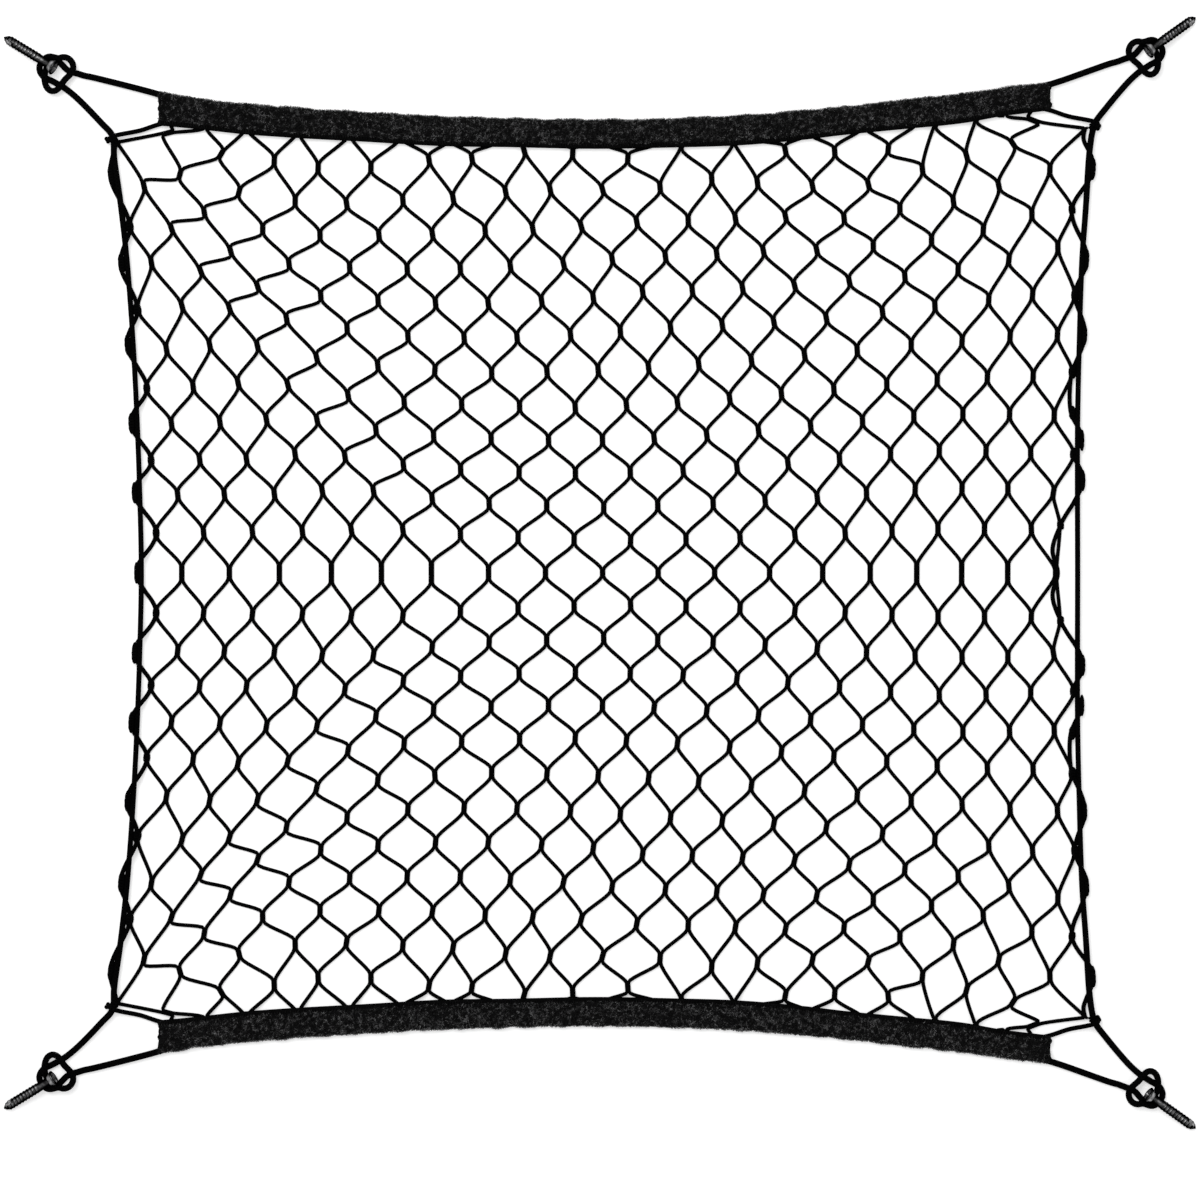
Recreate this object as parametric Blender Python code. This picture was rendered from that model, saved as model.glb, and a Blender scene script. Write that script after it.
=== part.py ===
"""Elastic cargo net, laid flat and fully opened on the ground.

The pieces, each one closed solid:

* net: a knotless diamond net of elastic twine, cut through at 1.5 times its real pitch
* hem_top, hem_bottom: fleece strips folded over the two long edges of the net
* edge_cord: one shock cord all the way round, inside the hems, threaded through the side
  meshes and hitched at the four corners
* screw_top_left ... screw_bottom_right: countersunk screws that the hitches hold by the neck

+X runs along the hems, +Y across them and +Z up from the ground. The origin is under the
middle of the whole thing. The lower half mirrors the upper half. Sizes are in millimetres,
and only place() turns them into metres.
"""

import math

import bmesh
import bpy
from mathutils import Vector

MM = 0.001
GAP = 0.3  # clear space between two pieces that touch

# Net: the twine, its knots, and the lattice of columns and rows. A column is half a mesh
# wide and a row half a mesh high. Row 0 is the middle line and row 11 ends at the corners.
TWINE = 1.9
KNOT_REACH = 3.1  # from a knot's middle to where its strands part
KNOT_SHOULDER = 1.6
KNOT_HALF_WIDTH = 1.2
LAST_COLUMN = 36
CORNER_ROW = 11
COARSE_COLUMNS = 24  # lattice of the solid, at 1.5 times the pitch of the real net
COARSE_CORNER_ROW = 7
COLUMN_STEP = LAST_COLUMN / COARSE_COLUMNS
ROW_STEP = CORNER_ROW / COARSE_CORNER_ROW

# Where the lattice lies. Each line is one row of the net: its height over the middle line,
# then its distance from the centre, at these columns.
LATTICE_COLUMNS = (0, 5, 10, 15, 20, 25, 30, 36)
LATTICE_ROWS = (0, 3, 6, 9, 12)
LATTICE_HEIGHT = {
    0: (0, 0, 0, 0, 0, 0, 0, 0),
    3: (73, 74, 68, 65, 66, 72, 80, 79),
    6: (146, 147, 133, 131, 135, 140, 150, 157),
    9: (225, 205, 197, 200, 206, 209, 216, 235),
    12: (287, 266, 264, 270, 270, 276, 282, 295),
}
LATTICE_ACROSS = {
    0: (-287, -208, -126, -34, 57, 145, 221, 305),
    3: (-291, -213, -127, -33, 55, 139, 220, 309),
    6: (-297, -222, -126, -35, 49, 133, 219, 308),
    9: (-304, -220, -125, -40, 43, 125, 216, 308),
    12: (-300, -212, -129, -48, 36, 122, 203, 301),
}

# Hems: a strip folded over the cord and the net's edge. Columns: x, outer edge, inner edge.
HEM_EDGES = (
    (-286, 312.3, 290.6),
    (-240, 306.2, 285.7),
    (-194, 301.1, 281.8),
    (-129, 297.4, 280.0),
    (-64, 295.4, 277.9),
    (1, 294.3, 276.3),
    (66, 294.9, 276.9),
    (131, 299.3, 280.0),
    (196, 306.2, 288.3),
    (261, 314.2, 295.6),
    (293, 317.9, 301.0),
)
HEM_SECTIONS = 24
FLEECE = 1.2
FOLD_BEVEL = 1.4  # at the corners of the fold that holds the cord
CHANNEL_BEVEL = 1.0
ROUNDING = 0.05  # extra room that the flat sections of a curved piece need
CHANNEL_END = 5.0  # from the hem's outer edge to where the fold slopes down to the net
SLOPE_END = 7.6
LINING_OFFSET = 0.4  # how far the slope's inside lags its outside
NET_IN_HEM = 10.0  # from the hem's outer edge to the knots that it holds

# Edge cord. Columns: height over the middle line, left x, right x, height over the ground.
CORD = 3.5
CORD_SIDES = (
    (0, -297.1, 310.7, 3.95),
    (50, -298.1, 310.6, 3.95),
    (100, -299.9, 310.7, 3.95),
    (150, -302.5, 311.8, 3.95),
    (200, -306.2, 313.4, 3.95),
    (240, -310.6, 316.2, 3.95),
    (270, -314.8, 318.1, 3.95),
    (280, -315.1, 319.2, 3.95),
    (285, -316.6, 320.0, 3.95),
    (292, -323.0, 322.0, 3.8),
    (302, -332.5, 329.4, 3.0),
)
RUN_STEP = 22.0  # spacing of the cord's sections in its long runs
HITCH_STEP = 3.6
LONGEST_HITCH_SPAN = 8.0
HEM_ENTRY = 5.0  # how far outside a hem the cord is in line with its channel

# Hitch, from the hem's run to the side run. Columns: along the screw from its head towards
# the net, across it towards the side run, height over the ground.
HITCH = (
    (23.4, -8.0, 2.4),
    (18.1, -6.1, 1.9),
    (13.5, -4.9, 1.8),
    (9.6, -3.7, 1.8),  # under the bar
    (6.0, -3.6, 1.8),
    (2.4, -4.5, 1.8),
    (-0.7, -5.0, 1.8),
    (-3.4, -4.1, 1.8),
    (-5.0, -1.8, 1.8),
    (-5.4, 0.9, 2.0),  # first turn, under the head
    (-4.8, 3.8, 3.4),
    (-3.8, 6.4, 5.1),
    (-2.6, 8.6, 5.6),  # over the second turn
    (-0.3, 11.6, 5.6),
    (2.8, 13.6, 5.6),
    (6.0, 13.6, 5.6),
    (8.2, 11.6, 5.7),
    (9.0, 8.6, 5.8),
    (9.1, 5.8, 5.8),  # the bar, over both runs
    (9.4, 2.8, 5.8),
    (10.1, 0.0, 5.8),
    (10.6, -3.0, 5.8),
    (10.3, -5.8, 5.8),
    (8.6, -8.3, 5.8),
    (6.0, -9.8, 5.8),
    (3.2, -10.0, 5.8),
    (0.6, -8.9, 5.8),
    (-1.2, -7.0, 5.8),  # over the first turn
    (-3.6, -6.0, 5.7),
    (-6.5, -5.1, 4.7),
    (-9.0, -3.1, 2.6),
    (-9.9, 0.5, 1.8),  # second turn, under the neck
    (-9.8, 4.0, 1.8),
    (-7.8, 6.7, 1.8),
    (-4.7, 8.2, 1.8),
    (-1.2, 8.3, 1.8),
    (2.3, 7.8, 1.8),
    (6.0, 7.6, 1.8),
    (9.9, 7.4, 1.8),  # under the bar
    (14.7, 7.7, 1.9),
    (21.4, 8.7, 2.4),
)

# Screws: 6 x 40 countersunk. Head centres and tips of the upper two, on the ground plan.
SCREW_LENGTH = 40.0
SCREW_RADIUS = 3.0
SCREW_HEAD_RADIUS = 5.2
SCREW_FACE_RADIUS = 4.95
SCREW_HEAD_RIM = 0.5
SCREW_CONE_END = 3.8
SCREW_TAPER_START = 33.0
SCREW_TIP_RADIUS = 0.3
SCREW_SIDES = 12
NECK_DISTANCE = 9.0  # from the head to the first turn of the hitch
NECK_HEIGHT = 7.2
SCREW_SLOPE = 0.172
SCREWS = {
    "left": {"head": (-353.0, 327.3), "tip": (-386.4, 347.9)},
    "right": {"head": (355.6, 337.9), "tip": (387.5, 360.8)},
}

# Side meshes: the knots that lie outside the cord, and the strands that pass it. Distances
# are from the cord's middle, outwards.
OUTER_KNOT = 3.7
OUTER_KNOT_HEIGHT = 3.0
INNER_KNOT = 6.0
CROSSING_HALF = 1.5
OVER_HEIGHT = 6.05
HEM_NET_HEIGHT = FLEECE + GAP
CORNER_KNOTS = {"left": 276.0, "right": 281.0}  # their heights over the middle line
CORNER_LEVEL = 9.0  # inwards of the cord, where the corner strand reaches the hem's level


def smooth(stations, values, at):
    """Value at a place, on a smooth curve through the values at rising stations."""
    last = len(stations) - 1
    i = 0
    while i < last - 1 and at > stations[i + 1]:
        i += 1

    def slope(k):
        if k == 0 or k == last:
            j = min(k, last - 1)
            return (values[j + 1] - values[j]) / (stations[j + 1] - stations[j])
        before = stations[k] - stations[k - 1]
        after = stations[k + 1] - stations[k]
        rise_before = (values[k] - values[k - 1]) / before
        rise_after = (values[k + 1] - values[k]) / after
        return (rise_before * after + rise_after * before) / (before + after)

    span = stations[i + 1] - stations[i]
    t = (at - stations[i]) / span
    return (
        (2 * t**3 - 3 * t**2 + 1) * values[i]
        + (t**3 - 2 * t**2 + t) * span * slope(i)
        + (3 * t**2 - 2 * t**3) * values[i + 1]
        + (t**3 - t**2) * span * slope(i + 1)
    )


def column_of(table, index):
    """One column of a table, as a tuple."""
    return tuple(row[index] for row in table)


def hem_edge(x, edge):
    """Height over the middle line of a hem's outer (1) or inner (2) edge."""
    return smooth(column_of(HEM_EDGES, 0), column_of(HEM_EDGES, edge), x)


def cord_x(side, y):
    """Where the side run of the cord lies at a height over the middle line."""
    heights = column_of(CORD_SIDES, 0)
    places = column_of(CORD_SIDES, 1 if side == "left" else 2)
    return smooth(heights, places, min(abs(y), heights[-1]))


def lattice_point(column, row):
    """Place of a lattice point of the real net, rows below the middle mirrored."""
    height = [smooth(LATTICE_COLUMNS, LATTICE_HEIGHT[r], column) for r in LATTICE_ROWS]
    across = [smooth(LATTICE_COLUMNS, LATTICE_ACROSS[r], column) for r in LATTICE_ROWS]
    y = smooth(LATTICE_ROWS, height, abs(row))
    return smooth(LATTICE_ROWS, across, abs(row)), math.copysign(y, row)


def material(name, colour, roughness, metallic=0.0):
    """A Principled material in one colour."""
    made = bpy.data.materials.new(name)
    made.use_nodes = True
    shader = made.node_tree.nodes["Principled BSDF"]
    shader.inputs["Base Color"].default_value = (*colour, 1.0)
    shader.inputs["Roughness"].default_value = roughness
    shader.inputs["Metallic"].default_value = metallic
    return made


def place(name, mesh_builder, finish, smooth_angle=None):
    """Make an object of a bmesh in millimetres, with its material."""
    bmesh.ops.scale(mesh_builder, vec=(MM, MM, MM), verts=mesh_builder.verts)
    mesh = bpy.data.meshes.new(name)
    mesh_builder.to_mesh(mesh)
    mesh_builder.free()
    if smooth_angle is not None:
        mesh.shade_smooth()
        mesh.set_sharp_from_angle(angle=smooth_angle)
    mesh.materials.append(finish)
    made = bpy.data.objects.new(name, mesh)
    bpy.context.scene.collection.objects.link(made)
    return made


# --- Net ---------------------------------------------------------------------------------


def is_outer(column, row):
    """Whether a knot of the coarse lattice lies outside the cord."""
    at_side = column in (0, COARSE_COLUMNS)
    return column in (-1, COARSE_COLUMNS + 1) or (at_side and abs(row) == COARSE_CORNER_ROW)


def side_of(column):
    """The side of the net that a column is nearer to."""
    return "left" if column * 2 < COARSE_COLUMNS else "right"


def outwards(side):
    """Direction along X that leads out of the net on a side."""
    return -1.0 if side == "left" else 1.0


def knot_place(column, row):
    """Middle of a knot of the coarse lattice, with the height of its underside."""
    side = side_of(column)
    x, y = lattice_point(min(max(column, 0), COARSE_COLUMNS) * COLUMN_STEP, row * ROW_STEP)
    if abs(row) > COARSE_CORNER_ROW:
        return Vector((x, math.copysign(hem_edge(x, 1) - NET_IN_HEM, row), HEM_NET_HEIGHT))
    if is_outer(column, row):
        if abs(row) == COARSE_CORNER_ROW:
            y = math.copysign(CORNER_KNOTS[side], row)
        x = cord_x(side, y) + outwards(side) * OUTER_KNOT
        return Vector((x, y, OUTER_KNOT_HEIGHT))
    if column in (0, COARSE_COLUMNS):
        clear = cord_x(side, y) - outwards(side) * INNER_KNOT
        x = max(x, clear) if side == "left" else min(x, clear)
    return Vector((x, y, HEM_NET_HEIGHT if abs(row) == COARSE_CORNER_ROW else 0.0))


def knot_positions():
    """Every knot of the coarse lattice, by column and row."""
    last_row = COARSE_CORNER_ROW + 1
    knots = {}
    for row in range(-last_row, last_row + 1):
        for column in range(-1, COARSE_COLUMNS + 2):
            beyond_side = not 0 <= column <= COARSE_COLUMNS
            if (column + row) % 2 and not (beyond_side and abs(row) >= COARSE_CORNER_ROW):
                knots[column, row] = knot_place(column, row)
    return knots


def knot_upright(knots, column, row):
    """Direction in which a knot is drawn out, between its upper and lower strands."""
    if is_outer(column, row):
        return Vector((0, 1, 0))

    def mean(row_beyond):
        ends = [knots.get((column + step, row_beyond)) for step in (-1, 1)]
        ends = [end for end in ends if end is not None]
        return sum(ends, Vector()) / len(ends) if ends else knots[column, row]

    drawn = mean(row + 1) - mean(row - 1)
    drawn.z = 0.0
    return drawn.normalized()


def distance_past_cord(side, point):
    """How far a point lies outside the cord's middle."""
    return outwards(side) * (point.x - cord_x(side, point.y))


def crossing_stations(lower, upper):
    """Stations of a strand that passes the cord: distance past the cord, and height."""
    if is_outer(*lower) == is_outer(*upper):
        return ()
    outer, inner = (lower, upper) if is_outer(*lower) else (upper, lower)
    if outer[1] == COARSE_CORNER_ROW:
        passes_over = inner is lower
    else:
        passes_over = inner is upper and abs(inner[1]) <= COARSE_CORNER_ROW
    height = OVER_HEIGHT if passes_over else 0.0
    stations = [(-CROSSING_HALF, height), (CROSSING_HALF, height)]
    if abs(inner[1]) > COARSE_CORNER_ROW:
        stations.insert(0, (-CORNER_LEVEL, HEM_NET_HEIGHT))
    return stations if outer is upper else stations[::-1]


def net_solid():
    """The whole net as one plate of strands and knots."""
    build = bmesh.new()
    knots = knot_positions()
    corners = {}
    for (column, row), middle in knots.items():
        up = knot_upright(knots, column, row)
        right = Vector((up.y, -up.x, 0.0))
        reach = up * KNOT_REACH
        shoulder = up * KNOT_SHOULDER
        half = right * KNOT_HALF_WIDTH
        corners[column, row] = {
            "up": build.verts.new(middle + reach),
            "right_up": build.verts.new(middle + half + shoulder),
            "right_down": build.verts.new(middle + half - shoulder),
            "down": build.verts.new(middle - reach),
            "left_down": build.verts.new(middle - half - shoulder),
            "left_up": build.verts.new(middle - half + shoulder),
        }
        build.faces.new(list(corners[column, row].values()))

    for column, row in knots:
        for step in (-1, 1):
            upper = (column + step, row + 1)
            if upper in knots:
                add_strand(build, corners, (column, row), upper, step)

    bmesh.ops.triangulate(build, faces=build.faces[:])
    raised = bmesh.ops.extrude_face_region(build, geom=build.faces[:])
    new_corners = [item for item in raised["geom"] if isinstance(item, bmesh.types.BMVert)]
    bmesh.ops.translate(build, vec=(0, 0, TWINE), verts=new_corners)
    bmesh.ops.recalc_face_normals(build, faces=build.faces[:])
    return build


def add_strand(build, corners, lower, upper, step):
    """A flat strand from a knot to the one above it on the left (-1) or the right (1)."""
    here, there = corners[lower], corners[upper]
    if step < 0:
        left_line = (here["left_up"], there["down"])
        right_line = (here["up"], there["right_down"])
    else:
        left_line = (here["up"], there["left_down"])
        right_line = (here["right_up"], there["down"])
    side = side_of(lower[0])
    left, right = [left_line[0]], [right_line[0]]
    for distance, height in crossing_stations(lower, upper):
        for line, ends in ((left, left_line), (right, right_line)):
            start, end = ends[0].co, ends[1].co
            from_start = distance_past_cord(side, start)
            part = (distance - from_start) / (distance_past_cord(side, end) - from_start)
            point = start.lerp(end, part)
            line.append(build.verts.new((point.x, point.y, height)))
    left.append(left_line[1])
    right.append(right_line[1])
    for i in range(len(left) - 1):
        build.faces.new((left[i], right[i], right[i + 1], left[i + 1]))


# --- Hems --------------------------------------------------------------------------------


def hem_profile(width):
    """Section of a hem, open at the inner edge: distance from the outer edge, and height."""
    wall = FLEECE
    lining = FLEECE + CHANNEL_BEVEL
    clearance = 2 * GAP + ROUNDING
    roof = 2 * wall + CORD + clearance
    shelf = 2 * wall + TWINE + clearance
    return (
        (width, 0.0),
        (FOLD_BEVEL, 0.0),
        (0.0, FOLD_BEVEL),
        (0.0, roof - FOLD_BEVEL),
        (FOLD_BEVEL, roof),
        (CHANNEL_END, roof),
        (SLOPE_END, shelf),
        (width, shelf),
        (width, shelf - wall),
        (SLOPE_END - LINING_OFFSET, shelf - wall),
        (CHANNEL_END - LINING_OFFSET, roof - wall),
        (lining, roof - wall),
        (wall, roof - lining),
        (wall, lining),
        (lining, wall),
        (width, wall),
    )


def hem_solid(mirror):
    """A folded strip along one edge of the net, mirror -1 for the lower one."""
    build = bmesh.new()
    start, end = HEM_EDGES[0][0], HEM_EDGES[-1][0]
    rings = []
    for i in range(HEM_SECTIONS + 1):
        x = start + (end - start) * i / HEM_SECTIONS
        outer, inner = hem_edge(x, 1), hem_edge(x, 2)
        ring = [(x, mirror * (outer - n), z) for n, z in hem_profile(outer - inner)]
        rings.append([build.verts.new(point) for point in ring])
    for ring, following in zip(rings, rings[1:]):
        for k in range(len(ring)):
            j = (k + 1) % len(ring)
            build.faces.new((ring[k], ring[j], following[j], following[k]))
    build.faces.new(rings[0])
    build.faces.new(rings[-1][::-1])
    bmesh.ops.recalc_face_normals(build, faces=build.faces[:])
    return build


# --- Edge cord ---------------------------------------------------------------------------


def screw_axes(side, mirror):
    """Head centre of a screw, with the directions along it to the net and across it."""
    head, tip = SCREWS[side]["head"], SCREWS[side]["tip"]
    origin = Vector((head[0], mirror * head[1], 0.0))
    along = (origin - Vector((tip[0], mirror * tip[1], 0.0))).normalized()
    across = Vector((along.y, -along.x, 0.0)) * -outwards(side) * mirror
    return origin, along, across


def hitch_route(side, mirror):
    """The cord's points through one hitch, from the hem's run to the side run."""
    origin, along, across = screw_axes(side, mirror)
    return [origin + along * s + across * t + Vector((0, 0, z)) for s, t, z in HITCH]


def side_route(side, mirror):
    """The cord's points from a hitch down to the middle line."""
    heights, rise = column_of(CORD_SIDES, 0), column_of(CORD_SIDES, 3)
    points = []
    for y in reversed(heights):
        points.append(Vector((cord_x(side, y), mirror * y, smooth(heights, rise, y))))
    return points


def hem_route(mirror):
    """The cord's points inside a hem, from left to right."""
    start, end = HEM_EDGES[0][0] + HEM_ENTRY, HEM_EDGES[-1][0] - HEM_ENTRY
    inset = FLEECE + GAP + CORD / 2 + ROUNDING
    count = round((end - start) / RUN_STEP)
    inside = [start + (end - start) * i / count for i in range(count + 1)]
    points = []
    for x in (start - 2 * HEM_ENTRY, *inside, end + 2 * HEM_ENTRY):
        points.append(Vector((x, mirror * (hem_edge(x, 1) - inset), inset)))
    return points


def cord_route():
    """The closed route of the edge cord, clockwise from the middle of the left side."""
    top_left = hitch_route("left", 1) + side_route("left", 1)
    top_right = hitch_route("right", 1) + side_route("right", 1)
    bottom_left = hitch_route("left", -1) + side_route("left", -1)
    bottom_right = hitch_route("right", -1) + side_route("right", -1)
    return (
        top_left[::-1]
        + hem_route(1)
        + top_right
        + bottom_right[-2::-1]
        + hem_route(-1)[::-1]
        + bottom_left[:-1]
    )


def resampled(route):
    """Closed smooth curve through the route, with close points in the hitches only."""
    points = []
    count = len(route)
    for i in range(count):
        before, here, after, beyond = (route[(i + k) % count] for k in (-1, 0, 1, 2))
        length = (after - here).length
        step = RUN_STEP if length > LONGEST_HITCH_SPAN else HITCH_STEP
        steps = max(1, round(length / step))
        for k in range(steps):
            points.append(curve_point(before, here, after, beyond, k / steps))
    return points


def curve_point(before, here, after, beyond, t):
    """A point between two route points, on a curve that keeps the spacing's proportions."""
    spans = ((before, here), (here, after), (after, beyond))
    d0, d1, d2 = (math.sqrt((end - start).length) for start, end in spans)
    leave = (here - before) / d0 - (after - before) / (d0 + d1) + (after - here) / d1
    arrive = (after - here) / d1 - (beyond - here) / (d1 + d2) + (beyond - after) / d2
    leave, arrive = leave * d1, arrive * d1
    return (
        (2 * t**3 - 3 * t**2 + 1) * here
        + (t**3 - 2 * t**2 + t) * leave
        + (3 * t**2 - 2 * t**3) * after
        + (t**3 - t**2) * arrive
    )


def add_edge_cord(finish):
    """The shock cord as a closed tube."""
    points = resampled(cord_route())
    curve = bpy.data.curves.new("edge_cord", "CURVE")
    curve.dimensions = "3D"
    curve.bevel_depth = CORD / 2 * MM
    curve.bevel_resolution = 2
    curve.resolution_u = 1
    curve.render_resolution_u = 0
    spline = curve.splines.new("POLY")
    spline.points.add(len(points) - 1)
    for target, point in zip(spline.points, points):
        target.co = (*(point * MM), 1.0)
    spline.use_cyclic_u = True
    curve.materials.append(finish)
    made = bpy.data.objects.new("edge_cord", curve)
    bpy.context.scene.collection.objects.link(made)
    return made


# --- Screws ------------------------------------------------------------------------------


def screw_solid(side, mirror):
    """A countersunk screw on its hitch, its point sloping down to the ground."""
    profile = (
        (0.0, SCREW_FACE_RADIUS),
        (SCREW_HEAD_RIM, SCREW_HEAD_RADIUS),
        (SCREW_CONE_END, SCREW_RADIUS),
        (SCREW_TAPER_START, SCREW_RADIUS),
        (SCREW_LENGTH, SCREW_TIP_RADIUS),
    )
    origin, along, _ = screw_axes(side, mirror)
    head = origin + Vector((0, 0, NECK_HEIGHT + NECK_DISTANCE * SCREW_SLOPE))
    axis = (-along - Vector((0, 0, SCREW_SLOPE))).normalized()
    across = axis.cross(Vector((0, 0, 1))).normalized()
    upright = across.cross(axis)
    build = bmesh.new()
    rings = []
    for distance, radius in profile:
        ring = []
        for i in range(SCREW_SIDES):
            turn = 2 * math.pi * i / SCREW_SIDES
            offset = (across * math.cos(turn) + upright * math.sin(turn)) * radius
            ring.append(build.verts.new(head + axis * distance + offset))
        rings.append(ring)
    for ring, following in zip(rings, rings[1:]):
        for k in range(SCREW_SIDES):
            j = (k + 1) % SCREW_SIDES
            build.faces.new((ring[k], ring[j], following[j], following[k]))
    build.faces.new(rings[0])
    build.faces.new(rings[-1][::-1])
    bmesh.ops.recalc_face_normals(build, faces=build.faces[:])
    return build


def main():
    """Build every piece."""
    for old in list(bpy.data.objects):
        bpy.data.objects.remove(old, do_unlink=True)

    twine = material("twine", (0.012, 0.012, 0.013), 0.7)
    fleece = material("fleece", (0.018, 0.018, 0.019), 0.95)
    sleeve = material("cord_sleeve", (0.012, 0.012, 0.013), 0.6)
    steel = material("black_steel", (0.03, 0.03, 0.032), 0.38, metallic=0.8)

    place("net", net_solid(), twine)
    add_edge_cord(sleeve)
    for edge, mirror in (("top", 1), ("bottom", -1)):
        place(f"hem_{edge}", hem_solid(mirror), fleece)
        for side in ("left", "right"):
            solid = screw_solid(side, mirror)
            place(f"screw_{edge}_{side}", solid, steel, smooth_angle=math.radians(35))


main()
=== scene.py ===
"""An elastic cargo net laid out flat and seen from straight above.

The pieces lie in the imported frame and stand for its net, hems, edge cord and corner screws.
This script builds what shows: round twines with knitted knots, a doubled selvedge that winds
around the braided edge cord, corner ties, fleece hems with pile and stitching, threaded screws,
and a plain studio. Lengths in the classes are in millimetres, and MeshDraft turns them into
metres. X runs along the hems, Y across them and Z up. The lower half mirrors the upper half.
The tables of places were measured in the photograph and fitted to it.
"""

from __future__ import annotations

import logging
import math
from dataclasses import dataclass, field
from enum import Enum
from typing import Any

import bpy
import numpy as np
from bpy.types import Material, Node, NodeSocket, NodeTree, Object, ShaderNodeTree
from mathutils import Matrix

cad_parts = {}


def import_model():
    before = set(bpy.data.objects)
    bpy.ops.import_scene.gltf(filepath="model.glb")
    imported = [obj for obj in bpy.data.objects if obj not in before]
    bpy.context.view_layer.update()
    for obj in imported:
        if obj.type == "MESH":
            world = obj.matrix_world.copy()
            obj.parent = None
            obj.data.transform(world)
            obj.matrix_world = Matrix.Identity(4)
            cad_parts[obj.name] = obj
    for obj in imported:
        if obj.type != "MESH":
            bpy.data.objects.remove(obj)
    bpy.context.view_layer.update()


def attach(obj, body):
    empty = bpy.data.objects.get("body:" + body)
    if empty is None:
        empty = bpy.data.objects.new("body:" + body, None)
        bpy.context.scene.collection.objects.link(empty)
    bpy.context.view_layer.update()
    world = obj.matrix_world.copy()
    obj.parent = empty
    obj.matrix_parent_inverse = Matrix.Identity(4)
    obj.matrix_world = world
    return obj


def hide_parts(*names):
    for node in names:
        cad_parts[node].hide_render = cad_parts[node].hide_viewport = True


log = logging.getLogger("cargo_net")

MM = 0.001
BODY = "root"
UP = np.array([0.0, 0.0, 1.0])
TURN = 2.0 * math.pi

Array = np.ndarray
Colour = tuple[float, float, float, float]
Rows = tuple[tuple[float, ...], ...]


class Side(Enum):
    """The net's two ends, with the direction along X that leads outwards."""

    LEFT = -1
    RIGHT = 1


class Edge(Enum):
    """The net's two hemmed edges, with the sign of Y."""

    TOP = 1
    BOTTOM = -1


# --- Curves and meshes ------------------------------------


def cubic(t: Array, start: Any, leave: Any, end: Any, arrive: Any) -> Array:
    """A cubic curve between two values.

    Args:
        t: Share of the way, from 0 to 1.
        start: Value at 0.
        leave: Slope at 0.
        end: Value at 1.
        arrive: Slope at 1.

    Returns:
        The values at t.
    """
    from_start = (2 * t**3 - 3 * t**2 + 1) * start + (t**3 - 2 * t**2 + t) * leave
    return from_start + (3 * t**2 - 2 * t**3) * end + (t**3 - t**2) * arrive


@dataclass(frozen=True)
class SmoothLine:
    """A smooth curve through values at rising stations.

    Attributes:
        stations: Rising places along the line.
        values: The value at each station.
    """

    stations: tuple[float, ...]
    values: tuple[float, ...]

    def slopes(self) -> Array:
        """Work out the curve's slopes.

        Returns:
            The slope at each station.
        """
        steps = np.diff(self.stations)
        rises = np.diff(self.values) / steps
        inner = (rises[:-1] * steps[1:] + rises[1:] * steps[:-1]) / (steps[:-1] + steps[1:])
        return np.concatenate(([rises[0]], inner, [rises[-1]]))

    def at(self, place: Any) -> Array:
        """Value at one place or at many.

        Args:
            place: A number or an array of numbers.

        Returns:
            The values there, in the same shape.
        """
        stations, values = np.array(self.stations, float), np.array(self.values, float)
        slopes = self.slopes()
        place = np.asarray(place, float)
        left = np.clip(np.searchsorted(stations, place, side="right") - 1, 0, len(stations) - 2)
        span = stations[left + 1] - stations[left]
        t = (place - stations[left]) / span
        return cubic(t, values[left], span * slopes[left], values[left + 1], span * slopes[left + 1])


def against_first(rows: Rows, column: int) -> SmoothLine:
    """A smooth curve through one column of a table, with the first column as its stations."""
    return SmoothLine(tuple(row[0] for row in rows), tuple(row[column] for row in rows))


def eased(value: Any, low: float, high: float) -> Array:
    """A soft step from 0 at low to 1 at high.

    Args:
        value: A number or an array.
        low: Where the step begins.
        high: Where it ends.

    Returns:
        The share of the step, from 0 to 1.
    """
    t = np.clip((np.asarray(value, float) - low) / (high - low), 0.0, 1.0)
    return t * t * (3.0 - 2.0 * t)


def unit(vectors: Array) -> Array:
    """The vectors, each with a length of one."""
    return vectors / np.maximum(np.linalg.norm(vectors, axis=-1, keepdims=True), 1e-9)


def curve_between(
    start: Array, leave: Array, end: Array, arrive: Array, count: int
) -> Array:
    """Points on a curve between two places, without the last one.

    Args:
        start: First place.
        leave: Velocity at the start.
        end: Last place.
        arrive: Velocity at the end.
        count: Number of points.

    Returns:
        The points, one in each row.
    """
    t = (np.arange(count) / count)[:, None]
    return cubic(t, start, leave, end, arrive)


def through(points: Array, step: float, closed: bool = False) -> Array:
    """A smooth curve through points, whose bends keep the spacing's proportions.

    Args:
        points: The places that it passes, one in each row.
        step: Spacing of the points that come back.
        closed: Whether the last place leads back to the first.

    Returns:
        Points along the curve.
    """
    count = len(points)
    if closed:
        padded = np.concatenate((points[-1:], points, points[:2]))
        spans = count
    else:
        first, last = 2 * points[0] - points[1], 2 * points[-1] - points[-2]
        padded = np.concatenate((first[None], points, last[None]))
        spans = count - 1
    pieces = []
    for i in range(spans):
        places = padded[i : i + 4]
        before, here, after, beyond = places
        d0, d1, d2 = (math.sqrt(np.linalg.norm(b - a)) for a, b in zip(places, places[1:]))
        leave = ((here - before) / d0 - (after - before) / (d0 + d1) + (after - here) / d1) * d1
        arrive = ((after - here) / d1 - (beyond - here) / (d1 + d2) + (beyond - after) / d2) * d1
        steps = max(1, round(np.linalg.norm(after - here) / step))
        pieces.append(curve_between(here, leave, after, arrive, steps))
    if not closed:
        pieces.append(points[-1:])
    return np.concatenate(pieces)


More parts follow.
